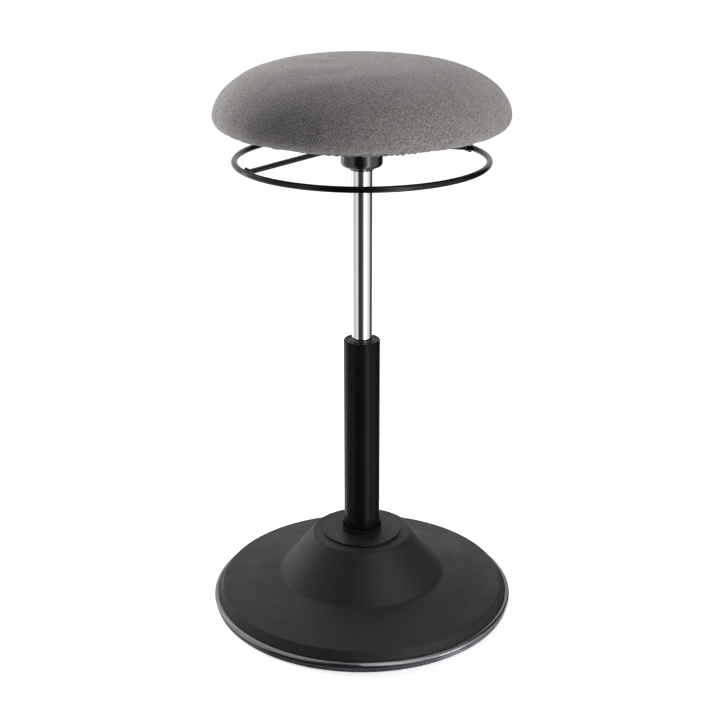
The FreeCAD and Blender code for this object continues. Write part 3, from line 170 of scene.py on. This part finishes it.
def add_world():
    """White for the camera and through glass; the walls for what shines; an even dim light besides."""
    world = bpy.data.worlds.new("studio")
    bpy.context.scene.world = world
    world.use_nodes = True
    tree = world.node_tree
    tree.nodes.clear()
    place = tree.nodes.new("ShaderNodeTexCoord")
    shine = tree.nodes.new("ShaderNodeBackground")
    link(tree, wall_level(tree, place.outputs["Generated"]), shine, "Color")
    shine.inputs["Strength"].default_value = HIGHEST_WALL
    seen = tree.nodes.new("ShaderNodeBackground")
    seen.inputs["Color"].default_value = (1.0, 1.0, 1.0, 1.0)
    even = tree.nodes.new("ShaderNodeBackground")
    even.inputs["Color"].default_value = (EVEN_LIGHT, EVEN_LIGHT, EVEN_LIGHT, 1.0)
    ray = tree.nodes.new("ShaderNodeLightPath")
    result = mixed(tree, ray.outputs["Is Glossy Ray"], even.outputs[0], shine.outputs[0])
    result = mixed(tree, ray.outputs["Is Transmission Ray"], result, seen.outputs[0])
    result = mixed(tree, ray.outputs["Is Camera Ray"], result, seen.outputs[0])
    end = tree.nodes.new("ShaderNodeOutputWorld")
    link(tree, result, end, "Surface")


def add_floor():
    """A wide pale floor that keeps the stool's shadow, and runs into white away from it."""
    mesh = bpy.data.meshes.new("floor")
    reach = FLOOR_REACH
    corners = [(-reach, -reach, 0), (reach, -reach, 0), (reach, reach, 0), (-reach, reach, 0)]
    mesh.from_pydata(corners, [], [(0, 1, 2, 3)])
    floor = bpy.data.objects.new("floor", mesh)
    bpy.context.scene.collection.objects.link(floor)
    paint = bpy.data.materials.new("floor_paint")
    paint.use_nodes = True
    tree = paint.node_tree
    shader = tree.nodes["Principled BSDF"]
    shader.inputs["Base Color"].default_value = (FLOOR_COLOUR, FLOOR_COLOUR, FLOOR_COLOUR, 1.0)
    shader.inputs["Roughness"].default_value = 1.0
    shader.inputs["Specular IOR Level"].default_value = 0.0
    place = tree.nodes.new("ShaderNodeTexCoord").outputs["Object"]
    far = tree.nodes.new("ShaderNodeVectorMath")
    far.operation = "LENGTH"
    link(tree, place, far, 0)
    lift = tree.nodes.new("ShaderNodeMapRange")
    for socket, value in (("From Min", FLOOR_NEAR), ("From Max", FLOOR_FAR),
                          ("To Min", FLOOR_NEAR_LIFT), ("To Max", FLOOR_FAR_LIFT)):
        lift.inputs[socket].default_value = value
    link(tree, far.outputs["Value"], lift, "Value")
    ray = tree.nodes.new("ShaderNodeLightPath")
    seen = tree.nodes.new("ShaderNodeMath")
    seen.operation = "MAXIMUM"
    link(tree, ray.outputs["Is Camera Ray"], seen, 0)
    link(tree, ray.outputs["Is Transmission Ray"], seen, 1)
    glow = tree.nodes.new("ShaderNodeMath")
    glow.operation = "MULTIPLY"
    link(tree, seen.outputs[0], glow, 0)
    link(tree, lift.outputs[0], glow, 1)
    shader.inputs["Emission Color"].default_value = (1.0, 1.0, 1.0, 1.0)
    link(tree, glow.outputs[0], shader, "Emission Strength")
    shine = tree.nodes.new("ShaderNodeEmission")
    link(tree, wall_level(tree, place), shine, "Color")
    shine.inputs["Strength"].default_value = HIGHEST_WALL
    result = mixed(tree, ray.outputs["Is Glossy Ray"], shader.outputs[0], shine.outputs[0])
    link(tree, result, tree.nodes["Material Output"], "Surface")
    mesh.materials.append(paint)


def add_studio():
    bpy.context.scene.view_settings.view_transform = "Standard"
    add_world()
    add_floor()
    for lamp in LAMPS:
        add_lamp(*lamp)


# Finishes

NOISE_RANGE = (0.3, 0.7)


class Finish:
    """A procedural material: one shader, with textures laid in the stool's own metres."""

    def __init__(self, name, roughness, metallic=0.0, **constants):
        self.name = name
        self.material = bpy.data.materials.new(name)
        self.material.use_nodes = True
        self.tree = self.material.node_tree
        self.shader = self.tree.nodes["Principled BSDF"]
        self.shader.inputs["Roughness"].default_value = roughness
        self.shader.inputs["Metallic"].default_value = metallic
        for socket, value in constants.items():
            self.shader.inputs[socket.replace("_", " ")].default_value = value
        self.place = self.add("ShaderNodeTexCoord").outputs["Object"]
        self.relief = None

    def add(self, kind, settings=None, **inputs):
        """A node with its settings and its inputs, named with _ for a space."""
        node = self.tree.nodes.new(kind)
        for name, value in (settings or {}).items():
            setattr(node, name, value)
        for socket, value in inputs.items():
            self.plug(node, socket.replace("_", " "), value)
        return node

    def plug(self, node, socket, value):
        """Link a socket to an input, or give the input its value."""
        if isinstance(value, bpy.types.NodeSocket):
            self.tree.links.new(value, node.inputs[socket])
        else:
            node.inputs[socket].default_value = value

    def maths(self, operation, first, second=0.0):
        node = self.add("ShaderNodeMath", {"operation": operation})
        self.plug(node, 0, first)
        self.plug(node, 1, second)
        return node.outputs[0]

    def stretched(self, across, along, up):
        """The place, drawn out along its axes."""
        node = self.add("ShaderNodeMapping", Vector=self.place)
        node.inputs["Scale"].default_value = (across, along, up)
        return node.outputs[0]

    def noise(self, scale, detail=3.0, rough=0.55, place=None, distortion=0.0):
        """Cloudy noise round 0.5. Its scale is counted over a metre."""
        node = self.add("ShaderNodeTexNoise", Vector=place or self.place, Scale=scale, Detail=detail,
                        Roughness=rough, Distortion=distortion)
        return node.outputs["Fac"]

    def cells(self, scale, randomness=1.0):
        """Distance to the nearest of many points, as in a skin of small cells."""
        node = self.add("ShaderNodeTexVoronoi", Vector=self.place, Scale=scale, Randomness=randomness)
        return node.outputs["Distance"]

    def between(self, value, low, high, out_low, out_high):
        """A value carried over smoothly from one range to another."""
        node = self.add("ShaderNodeMapRange", {"interpolation_type": "SMOOTHSTEP"}, Value=value,
                        From_Min=low, From_Max=high, To_Min=out_low, To_Max=out_high)
        return node.outputs[0]

    def spread(self, noise, low, high):
        """A noise's usual range carried over to another."""
        return self.between(noise, *NOISE_RANGE, low, high)

    def blend(self, share, low, high):
        """A colour between two colours or colour sockets. A Mix node takes them at inputs 6 and 7."""
        node = self.add("ShaderNodeMix", {"data_type": "RGBA"})
        self.plug(node, 0, share)
        for index, colour in ((6, low), (7, high)):
            if isinstance(colour, bpy.types.NodeSocket):
                self.tree.links.new(colour, node.inputs[index])
            else:
                node.inputs[index].default_value = (*colour, 1.0)
        return node.outputs[2]

    def colour(self, socket):
        self.tree.links.new(socket, self.shader.inputs["Base Color"])

    def rough(self, socket):
        self.tree.links.new(socket, self.shader.inputs["Roughness"])

    def bump(self, height, distance):
        """Relief of a height from 0 to 1, its full depth in metres. A later call lies on an earlier one."""
        node = self.add("ShaderNodeBump", Height=height, Distance=distance)
        if self.relief is not None:
            self.tree.links.new(self.relief, node.inputs["Normal"])
        self.relief = node.outputs[0]
        self.tree.links.new(self.relief, self.shader.inputs["Normal"])


GLOSS_PATCH = 2.3


def plain_finish(name, low, high, rough, patch, grain, depth, metallic=0.0, **constants):
    """Moulded, painted or cast: two tones in soft patches, uneven gloss and a fine grain.

    Patches and grains are counted over a metre; the grain's depth is in metres.
    """
    finish = Finish(name, rough[0], metallic, **constants)
    patches = finish.noise(patch, 4.0)
    finish.colour(finish.blend(finish.spread(patches, 0.0, 1.0), low, high))
    finish.rough(finish.spread(finish.noise(patch * GLOSS_PATCH, 5.0), *rough))
    finish.bump(finish.noise(grain, 2.0), depth)
    return finish


def turned_finish(name, low, high, rough):
    """Machined metal with fine rings round the Z axis."""
    finish = Finish(name, rough[0], 1.0)
    lines = finish.noise(2400.0, 2.0, place=finish.stretched(0.02, 0.02, 1.0))
    finish.colour(finish.blend(lines, low, high))
    finish.rough(finish.spread(finish.noise(60.0, 4.0), *rough))
    finish.bump(lines, 0.00002)
    return finish


def fabric_finish():
    """Heathered wool mix: flecks of dark and pale yarn, the small bumps of a weave, and fuzz."""
    finish = Finish("seat_fabric", 0.92, Specular_IOR_Level=0.2, Sheen_Weight=0.35, Sheen_Roughness=0.5)
    finish.shader.inputs["Sheen Tint"].default_value = (0.92, 0.9, 0.88, 1.0)
    yarn = finish.cells(700.0, 0.8)
    fleck = finish.noise(660.0, 3.0, 0.75)
    cloud = finish.noise(34.0, 3.0, 0.6)
    fibre = finish.noise(2600.0, 2.0, 0.7)
    dark, middle, pale = (0.085, 0.079, 0.076), (0.285, 0.268, 0.260), (0.46, 0.44, 0.43)
    ground = finish.blend(finish.between(fleck, 0.41, 0.59, 0.0, 1.0), dark, middle)
    flecks = finish.between(finish.noise(840.0, 2.0, 0.8), 0.52, 0.64, 0.0, 0.8)
    mixed_yarn = finish.blend(flecks, ground, pale)
    woven = finish.blend(finish.between(yarn, 0.35, 0.85, 0.0, 0.5), mixed_yarn, dark)
    finish.colour(finish.blend(finish.between(cloud, 0.35, 0.7, 0.0, 0.08), woven, pale))
    finish.bump(finish.maths("SUBTRACT", 1.0, yarn), 0.0005)
    finish.bump(fibre, 0.0002)
    return finish


def chrome_finish():
    """Hard chrome, with the faint lengthwise streaks of its polish."""
    finish = Finish("chrome", 0.05, 1.0)
    streak = finish.noise(900.0, 2.0, place=finish.stretched(1.0, 1.0, 0.01))
    finish.colour(finish.blend(streak, (0.80, 0.80, 0.82), (0.90, 0.90, 0.92)))
    finish.rough(finish.spread(finish.noise(45.0, 4.0), 0.035, 0.075))
    finish.bump(streak, 0.000002)
    return finish


def silver_finish():
    """Satin silver band, brushed round its length."""
    finish = Finish("trim_silver", 0.3, 1.0)
    brushed = finish.noise(700.0, 2.0, place=finish.stretched(0.05, 0.05, 1.0))
    finish.colour(finish.blend(brushed, (0.20, 0.205, 0.21), (0.31, 0.315, 0.32)))
    finish.rough(finish.spread(brushed, 0.28, 0.4))
    finish.bump(brushed, 0.00002)
    return finish


# Where the cover disc turns into its neck, which is painted nearly black as painted shade at the tube's foot
# and made duller: from one distance and height to the other
NECK_EDGE = (0.0272, 0.0286)
NECK_FOOT = (0.1056, 0.1068)
NECK_DULLNESS = 0.45


def disc_finish():
    """Moulded disc with an even grain; its neck round the tube's foot is painted nearly black as painted
    shade, and is duller.
    """
    finish = Finish("disc_black", 0.4, Specular_IOR_Level=0.3)
    apart = finish.add("ShaderNodeSeparateXYZ", Vector=finish.place)
    across = finish.maths("MULTIPLY", apart.outputs["X"], apart.outputs["X"])
    along = finish.maths("MULTIPLY", apart.outputs["Y"], apart.outputs["Y"])
    radius = finish.maths("SQRT", finish.maths("ADD", across, along))
    inside = finish.between(radius, *NECK_EDGE, 1.0, 0.0)
    above = finish.between(apart.outputs["Z"], *NECK_FOOT, 0.0, 1.0)
    neck_painted_shade_and_dullness = finish.maths("MAXIMUM", inside, above)
    patches = finish.spread(finish.noise(14.0, 4.0), 0.0, 1.0)
    disc = finish.blend(patches, (0.0105, 0.0105, 0.011), (0.0135, 0.0135, 0.014))
    # Painted shade: the neck at the tube's foot is painted nearly black over the disc's own patchy black
    finish.colour(finish.blend(neck_painted_shade_and_dullness, disc, (0.0012, 0.0012, 0.0012)))
    dull = finish.spread(finish.noise(32.0, 5.0), 0.34, 0.44)
    finish.rough(finish.maths("ADD", dull, finish.maths("MULTIPLY", neck_painted_shade_and_dullness, NECK_DULLNESS)))
    finish.bump(finish.noise(1700.0, 2.0), 0.00006)
    return finish


PLY_THICKNESS = 0.0015


def plywood_finish():
    """Moulded beech plywood: grain along X on the faces, glue lines round the edge."""
    finish = Finish("pan_plywood", 0.55)
    grain = finish.noise(90.0, 6.0, 0.65, place=finish.stretched(0.06, 1.0, 1.0), distortion=0.4)
    pores = finish.noise(900.0, 2.0, place=finish.stretched(0.05, 1.0, 1.0))
    dark, pale = (0.20, 0.13, 0.075), (0.32, 0.23, 0.145)
    wood = finish.blend(finish.between(grain, 0.3, 0.75, 0.0, 1.0), dark, pale)
    height = finish.add("ShaderNodeSeparateXYZ", Vector=finish.place).outputs["Z"]
    plies = finish.maths("SINE", finish.maths("MULTIPLY", height, FULL_TURN / PLY_THICKNESS))
    lines = finish.between(plies, 0.3, 1.0, 0.0, 0.28)
    finish.colour(finish.blend(lines, wood, (0.13, 0.085, 0.05)))
    finish.bump(pores, 0.00008)
    return finish


def make_finishes():
    """One finish for each of the record's material slots."""
    made = [
        plain_finish("floor_rubber", (0.060, 0.065, 0.078), (0.080, 0.086, 0.100), (0.55, 0.7),
                     patch=25.0, grain=1500.0, depth=0.00006, Specular_IOR_Level=0.4),
        plain_finish("plate_steel", (0.036, 0.036, 0.038), (0.046, 0.045, 0.045), (0.45, 0.55),
                     patch=30.0, grain=900.0, depth=0.00003, metallic=0.4),
        plain_finish("cover_black", (0.0110, 0.0111, 0.0112), (0.0145, 0.0146, 0.0147), (0.46, 0.56),
                     patch=9.0, grain=2100.0, depth=0.00009, Specular_IOR_Level=0.28),
        plain_finish("zinc_steel", (0.50, 0.50, 0.53), (0.64, 0.63, 0.60), (0.26, 0.42),
                     patch=60.0, grain=900.0, depth=0.00002, metallic=1.0),
        plain_finish("cast_black", (0.035, 0.035, 0.036), (0.06, 0.06, 0.06), (0.5, 0.65),
                     patch=40.0, grain=1400.0, depth=0.0001, metallic=0.3),
        plain_finish("mount_rubber", (0.018, 0.018, 0.019), (0.028, 0.028, 0.028), (0.65, 0.8),
                     patch=40.0, grain=1300.0, depth=0.00005),
        plain_finish("glide_nylon", (0.60, 0.58, 0.52), (0.70, 0.68, 0.63), (0.40, 0.5),
                     patch=50.0, grain=1200.0, depth=0.00002, Subsurface_Weight=0.1),
        plain_finish("tube_black", (0.0045, 0.0046, 0.0047), (0.0060, 0.0061, 0.0062), (0.20, 0.28),
                     patch=14.0, grain=1100.0, depth=0.00004, Specular_IOR_Level=0.08),
        plain_finish("bush_plastic", (0.008, 0.008, 0.008), (0.013, 0.013, 0.013), (0.38, 0.5),
                     patch=60.0, grain=1500.0, depth=0.00003),
        plain_finish("hub_black", (0.0045, 0.0045, 0.0048), (0.007, 0.007, 0.0074), (0.10, 0.17),
                     patch=20.0, grain=500.0, depth=0.00002, Specular_IOR_Level=0.85),
        plain_finish("ring_black", (0.003, 0.003, 0.0031), (0.005, 0.005, 0.0052), (0.14, 0.22),
                     patch=20.0, grain=700.0, depth=0.00003, Specular_IOR_Level=0.27),
        plain_finish("elastic", (0.60, 0.59, 0.57), (0.78, 0.77, 0.75), (0.6, 0.8),
                     patch=200.0, grain=1500.0, depth=0.0002),
        plain_finish("seat_foam", (0.70, 0.66, 0.52), (0.82, 0.78, 0.64), (0.85, 0.95),
                     patch=60.0, grain=800.0, depth=0.0006),
        turned_finish("machined_steel", (0.42, 0.42, 0.43), (0.58, 0.58, 0.59), (0.22, 0.34)),
        turned_finish("machined_aluminium", (0.56, 0.56, 0.57), (0.72, 0.72, 0.73), (0.24, 0.36)),
        chrome_finish(),
        silver_finish(),
        disc_finish(),
        plywood_finish(),
        fabric_finish(),
    ]
    return {finish.name: finish.material for finish in made}


def dress_nodes(finishes):
    """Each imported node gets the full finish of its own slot."""
    slots = {part["node"]: part["material_slot"] for part in frame["record"]["subparts"]}
    for name, item in nodes.items():
        for place in item.material_slots:
            place.material = finishes[slots[name]]


# Upholstery: the seat's half section in millimetres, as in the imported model. The crown and the side
# meet at the waist, and the side runs under to the pan, whose underside is flat and then slopes up.

SEAT_RADIUS = 191.9
WAIST = 701.7
TOP = 769.8
CROWN_POWER = 1.815
SHOULDER_POWER = 3.215
SIDE_PULL = 0.63
UNDER_RADIUS = 166.0
PAN_RADIUS = 160.0
PAN_FOOT = 677.5
PAN_TOP = 689.5
PAN_FLAT = 100.0
PAN_RISE = 6.5
PAN_SLOPE = PAN_RISE / (PAN_RADIUS - PAN_FLAT)
FABRIC = 1.5
SEAM = 0.3
HEM_RADIUS = 132.0
HEM_ROLL = 3.2
HEM_EDGE = HEM_RADIUS + HEM_ROLL * 0.5

# Where the lining turns: under the pan, down its edge and over its top
LINING_UNDER = (140.0, 147.0, 154.0)
LINING_DROP = 4.0
LINING_OVER = (140.0, 110.0, 70.0, 30.0)

# How finely the cover is divided. Rings of the crown within a share of its radius have half as
# many vertices, and so on towards the middle.
AROUND = 960
FEWEST_AROUND = 45
HALVED_WITHIN = 0.62
CROWN_STEPS, SIDE_STEPS, UNDER_STEPS = 72, 34, 26


def pan_under(radius):
    """Level of the pan's underside, outside its flat middle."""
    return PAN_FOOT + (radius - PAN_FLAT) * PAN_SLOPE


def crown_points(count):
    """From near the crown's middle to the widest place."""
    points = []
    for step in range(1, count + 1):
        share = math.sin(math.pi / 2 * step / count) ** (2 / SHOULDER_POWER)
        level = WAIST + (TOP - WAIST) * max(1 - share ** SHOULDER_POWER, 0) ** (1 / CROWN_POWER)
        points.append((SEAT_RADIUS * share, level))
    return points


def side_points(count):
    """From the widest place down and in to the underside."""
    foot = pan_under(UNDER_RADIUS) - SEAM - FABRIC
    inward = (SEAT_RADIUS - UNDER_RADIUS) * SIDE_PULL
    poles = [
        (SEAT_RADIUS, WAIST),
        (SEAT_RADIUS, WAIST + (foot - WAIST) * SIDE_PULL),
        (UNDER_RADIUS + inward, foot + inward * PAN_SLOPE),
        (UNDER_RADIUS, foot),
    ]
    points = []
    for step in range(1, count + 1):
        share = step / count
        weights = [(1 - share) ** 3, 3 * share * (1 - share) ** 2, 3 * share ** 2 * (1 - share), share ** 3]
        points.append(tuple(sum(w * pole[axis] for w, pole in zip(weights, poles)) for axis in (0, 1)))
    return points


def under_points(count):
    """Flat against the pan, from its edge in to the hem."""
    points = []
    for step in range(1, count + 1):
        radius = UNDER_RADIUS + (HEM_EDGE - UNDER_RADIUS) * step / count
        points.append((radius, pan_under(radius) - SEAM - FABRIC))
    return points


def lining_points():
    """Back over the fabric, round the pan's edge and over its top."""
    outside = PAN_RADIUS + SEAM
    under = [(radius, pan_under(radius) - SEAM) for radius in (HEM_EDGE, *LINING_UNDER, outside)]
    edge = [(outside, PAN_TOP - LINING_DROP), (outside, PAN_TOP + SEAM)]
    over = [(radius, PAN_TOP + SEAM) for radius in LINING_OVER]
    return under + edge + over


# A fold across its width: how round its ridge is, and the level that it stands out from
RIDGE_POWER = 0.75
RIDGE_MIDDLE = 0.55
FADE_STEEPNESS = 1.6
RISE_SHARE = 0.7


class Folds:
    """Uneven gathers round the hem. Each has a width, a height and a reach of its own."""

    def __init__(self, count, seed, unevenness):
        source = random.Random(seed)
        widths = [1 + unevenness * source.uniform(-1, 1) for _ in range(count)]
        edges = [0.0]
        for width in widths:
            edges.append(edges[-1] + width * FULL_TURN / sum(widths))
        self.edges = np.array(edges)
        self.heights = np.array([source.uniform(0.45, 1.25) for _ in range(count)])
        self.reaches = np.array([source.uniform(0.5, 1.0) for _ in range(count)])

    def at(self, angle, far=0.0):
        """Height at an angle, about 0.5 on a ridge and -0.5 beside it; it fades as far goes from 0 to 1."""
        angle = angle % FULL_TURN
        index = np.clip(np.searchsorted(self.edges, angle, side="right") - 1, 0, len(self.heights) - 1)
        low, high = self.edges[index], self.edges[index + 1]
        across = np.clip((angle - low) / (high - low), 0, 1)
        ridge = np.sin(np.pi * across) ** RIDGE_POWER - RIDGE_MIDDLE
        fade = np.clip(FADE_STEEPNESS * (1 - far / self.reaches[index]), 0, 1)
        return ridge * self.heights[index] * fade * fade * (3 - 2 * fade)


def smooth_noise(seed, count, highest):
    """Waves over angle and length that add up to a soft unevenness, mostly between -1 and 1."""
    source = random.Random(seed)
    waves = []
    for _ in range(count):
        turns, rise = source.randint(1, highest), source.uniform(1, highest * RISE_SHARE)
        waves.append((turns, rise, source.uniform(0, FULL_TURN), source.uniform(0.5, 1.0)))
    total = math.sqrt(sum(wave[3] ** 2 for wave in waves))

    def at(angle, along):
        value = 0.0
        for turns, rise, start, height in waves:
            value = value + height * np.cos(turns * angle + rise * along + start)
        return value / total

    return at


# Gathers in millimetres: their folds, how far they reach from the hem, and their height
GATHERS = [
    (Folds(104, 11, 0.4), 78.0, 3.0),
    (Folds(73, 23, 0.45), 80.0, 1.8),
    (Folds(41, 5, 0.5), 90.0, 0.6),
]
UNDER_LENGTH = UNDER_RADIUS - HEM_RADIUS
DEEPEST_UNDER, DEEPEST_FOLD = -1.2, -2.6
UNEVEN = smooth_noise(3, 26, 9)
UNEVEN_HEIGHT = 0.3
UNEVEN_WAVE = 40.0
UNEVEN_START = 60.0


def fabric_push(angle, back, length):
    """How far the fabric stands out, in millimetres, at a distance back from the hem along it."""
    push = UNEVEN(angle, length / UNEVEN_WAVE) * UNEVEN_HEIGHT * min(1.0, length / UNEVEN_START)
    for folds, reach, height in GATHERS:
        push = push + folds.at(angle, max(back, 0) / reach) * height
    return np.maximum(push, DEEPEST_UNDER if back < UNDER_LENGTH else DEEPEST_FOLD)


def stitch(first, second):
    """Faces between two rings of vertices of equal counts, or the first with twice the second's."""
    faces = []
    count, other = len(first), len(second)
    for index in range(other):
        after = (index + 1) % other
        if count == other:
            faces.append((first[index], first[after], second[after], second[index]))
            continue
        double = index * 2
        faces.append((first[double], first[double + 1], second[index]))
        faces.append((first[double + 1], second[after], second[index]))
        faces.append((first[double + 1], first[(double + 2) % count], second[after]))
    return faces


def joined(rings):
    """Faces down a list of rings, whichever of two neighbours has more vertices."""
    faces = []
    for first, second in zip(rings, rings[1:]):
        if len(first) >= len(second):
            faces += stitch(first, second)
        else:
            faces += [tuple(reversed(face)) for face in stitch(second, first)]
    return faces


def capped(ring, centre):
    """Faces from a ring to one vertex in its middle."""
    return [(ring[index], ring[(index + 1) % len(ring)], centre) for index in range(len(ring))]


def mesh_object(name, vertices, faces):
    """A smooth object with its faces turned outward."""
    mesh = bpy.data.meshes.new(name)
    mesh.from_pydata(vertices, [], faces)
    work = bmesh.new()
    work.from_mesh(mesh)
    bmesh.ops.recalc_face_normals(work, faces=work.faces)
    work.to_mesh(mesh)
    work.free()
    mesh.polygons.foreach_set("use_smooth", [True] * len(mesh.polygons))
    piece = bpy.data.objects.new(name, mesh)
    bpy.context.scene.collection.objects.link(piece)
    return piece


def ring_at(vertices, radii, levels, angles):
    """Append one ring of vertices from millimetres; give back their numbers."""
    first = len(vertices)
    for turn, out, height in zip(angles, radii, levels):
        vertices.append((out * MM * math.cos(turn), out * MM * math.sin(turn), height * MM))
    return list(range(first, first + len(angles)))


def turn_angles(count):
    return np.arange(count) / count * FULL_TURN


def outer_section():
    """The fabric's outside from the crown to the hem: places, outward normals, lengths along it."""
    places = np.array(crown_points(CROWN_STEPS) + side_points(SIDE_STEPS) + under_points(UNDER_STEPS))
    steps = np.hypot(*np.diff(places, axis=0).T)
    lengths = np.concatenate(([0.0], np.cumsum(steps))) + places[0][0]
    tangents = np.gradient(places, axis=0)
    tangents /= np.hypot(*tangents.T)[:, None]
    normals = np.stack([-tangents[:, 1], tangents[:, 0]], axis=1)
    return places, normals, lengths


def ring_count(radius, index):
    """Vertices in a ring. In the crown they are halved again and again towards its middle."""
    count = AROUND
    if index >= CROWN_STEPS:
        return count
    while radius < SEAT_RADIUS * HALVED_WITHIN * count / AROUND and count > FEWEST_AROUND:
        count //= 2
    return count


def build_upholstery():
    """The seat's cover with its foam, gathered towards the hem and closed over the pan."""
    places, normals, lengths = outer_section()
    vertices, rings = [], []
    for index, ((radius, level), normal, length) in enumerate(zip(places, normals, lengths)):
        angles = turn_angles(ring_count(radius, index))
        push = fabric_push(angles, lengths[-1] - length, length)
        rings.append(ring_at(vertices, radius + push * normal[0], level + push * normal[1], angles))
    for radius, level in lining_points():
        count = AROUND // 2 if radius > PAN_FLAT else AROUND // 4
        angles = turn_angles(count)
        rings.append(ring_at(vertices, [radius] * count, [level] * count, angles))
    faces = joined(rings)
    vertices.append((0.0, 0.0, TOP * MM))
    faces += capped(rings[0][::-1], len(vertices) - 1)
    vertices.append((0.0, 0.0, (PAN_TOP + SEAM) * MM))
    faces += capped(rings[-1], len(vertices) - 1)
    return mesh_object("seat_upholstery", vertices, faces), rings


# The cover as cloth, in metres: what lies against the pan is held, and the fine mesh takes a share
# of the movement of the coarse mesh's nearest vertices, up to a limit
CLOTH_CELL = 0.006
CLOTH_FRAMES = 20
CLOTH_QUALITY = 4
CLOTH_PRESSURE = 4.0
CLOTH_MASS = 0.15
CLOTH_STRETCH = 15.0
CLOTH_BENDING = 0.5
CLOTH_SHRINK = 0.01
HELD_RADIUS = 0.1665
HELD_LEVEL = 0.6915
NEAREST = 4
CLOTH_SHARE = 0.2
CLOTH_LIMIT = 0.0006


def coordinates(mesh):
    """The vertices' places, a row each."""
    flat = np.empty(len(mesh.vertices) * 3)
    mesh.vertices.foreach_get("co", flat)
    return flat.reshape(-1, 3)


def cloth_movement(piece):
    """Run a coarse copy of the cover as cloth under the foam's pressure: its places, and how they move."""
    scene = bpy.context.scene
    coarse = piece.copy()
    coarse.data = piece.data.copy()
    scene.collection.objects.link(coarse)
    remesh = coarse.modifiers.new("remesh", "REMESH")
    remesh.mode = "VOXEL"
    remesh.voxel_size = CLOTH_CELL
    state = bpy.context.evaluated_depsgraph_get()
    mesh = bpy.data.meshes.new_from_object(coarse.evaluated_get(state))
    coarse.modifiers.clear()
    coarse.data = mesh
    start = coordinates(mesh)
    held = (np.hypot(start[:, 0], start[:, 1]) < HELD_RADIUS) & (start[:, 2] < HELD_LEVEL)
    group = coarse.vertex_groups.new(name="held")
    group.add([int(index) for index in np.flatnonzero(held)], 1.0, "REPLACE")
    cloth = coarse.modifiers.new("cloth", "CLOTH")
    settings = cloth.settings
    settings.quality = CLOTH_QUALITY
    settings.mass = CLOTH_MASS
    settings.tension_stiffness = settings.compression_stiffness = CLOTH_STRETCH
    settings.bending_stiffness = CLOTH_BENDING
    settings.use_pressure = True
    settings.uniform_pressure_force = CLOTH_PRESSURE
    settings.shrink_min = settings.shrink_max = CLOTH_SHRINK
    settings.vertex_group_mass = group.name
    settings.effector_weights.gravity = 0.0
    cloth.point_cache.frame_start, cloth.point_cache.frame_end = 1, CLOTH_FRAMES
    for frame_number in range(1, CLOTH_FRAMES + 1):
        scene.frame_set(frame_number)
    state = bpy.context.evaluated_depsgraph_get()
    moved = coordinates(coarse.evaluated_get(state).data) - start
    bpy.data.objects.remove(coarse)
    bpy.data.meshes.remove(mesh)
    scene.frame_set(1)
    return start, moved


def settle(piece, rings):
    """Carry the cloth's unevenness over to the fine mesh. Each ring keeps its mean place."""
    start, moved = cloth_movement(piece)
    tree = kdtree.KDTree(len(start))
    for index, place in enumerate(start):
        tree.insert(place, index)
    tree.balance()
    places = coordinates(piece.data)
    shift = np.zeros_like(places)
    for index, place in enumerate(places):
        found = tree.find_n(place, NEAREST)
        weights = np.array([1 / (gap * gap + CLOTH_CELL ** 2) for _, _, gap in found])
        near = moved[[number for _, number, _ in found]]
        shift[index] = weights @ near / weights.sum()
    angles = np.arctan2(places[:, 1], places[:, 0])
    outward = shift[:, 0] * np.cos(angles) + shift[:, 1] * np.sin(angles)
    upward = shift[:, 2]
    for ring in rings:
        outward[ring] -= outward[ring].mean()
        upward[ring] -= upward[ring].mean()
    far = np.hypot(outward, upward) * CLOTH_SHARE
    ease = CLOTH_SHARE * np.minimum(1.0, CLOTH_LIMIT / np.maximum(far, CLOTH_LIMIT))
    places[:, 0] += outward * ease * np.cos(angles)
    places[:, 1] += outward * ease * np.sin(angles)
    places[:, 2] += upward * ease
    piece.data.vertices.foreach_set("co", places.ravel())
    piece.data.update()


# The hem's roll: its folds, how far they slant round it in radians, and shares of its size
HEM_FOLDS = Folds(104, 41, 0.4)
HEM_SLANT = 0.036
HEM_FULLNESS = 1.15
HEM_DEPTH = 0.95
HEM_WIDTH = 1.25
HEM_WAVINESS = 0.06
HEM_TWIST = 0.3
HEM_SAG, HEM_SAG_WAVES, HEM_SAG_START = 0.2, 0.3, 1.0
HEM_AROUND = 1440
HEM_STEPS = 20


def build_hem():
    """The ruffled roll of fabric over the elastic, its folds slanting like rope."""
    level = pan_under(HEM_RADIUS) - SEAM - HEM_ROLL
    angles = turn_angles(HEM_AROUND)
    wander = smooth_noise(17, 18, 60)
    vertices, rings = [], []
    for step in range(HEM_STEPS):
        turn = FULL_TURN * step / HEM_STEPS
        below = max(0.0, -math.sin(turn))
        fold = HEM_FOLDS.at(angles + HEM_SLANT * math.cos(turn))
        size = HEM_ROLL * (HEM_FULLNESS + fold * HEM_DEPTH + wander(angles, HEM_TWIST * turn) * HEM_WAVINESS)
        drop = (HEM_SAG + wander(angles + HEM_SAG_START, 0.0) * HEM_SAG_WAVES) * below
        radii = HEM_RADIUS + size * math.cos(turn) * HEM_WIDTH
        levels = level + size * math.sin(turn) - drop
        levels = np.minimum(levels, level + HEM_ROLL)
        rings.append(ring_at(vertices, radii, levels, angles))
    rings.append(rings[0])
    return mesh_object("seat_hem_ruffle", vertices, joined(rings))


add_camera()
add_studio()
finishes = make_finishes()
dress_nodes(finishes)

upholstery, upholstery_rings = build_upholstery()
settle(upholstery, upholstery_rings)
hem = build_hem()
for piece in (upholstery, hem):
    piece.data.materials.append(finishes["seat_fabric"])
    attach(piece, "seat")
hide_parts("seat_cushion", "seat_cover")
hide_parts("seat_hem", "hem_elastic")
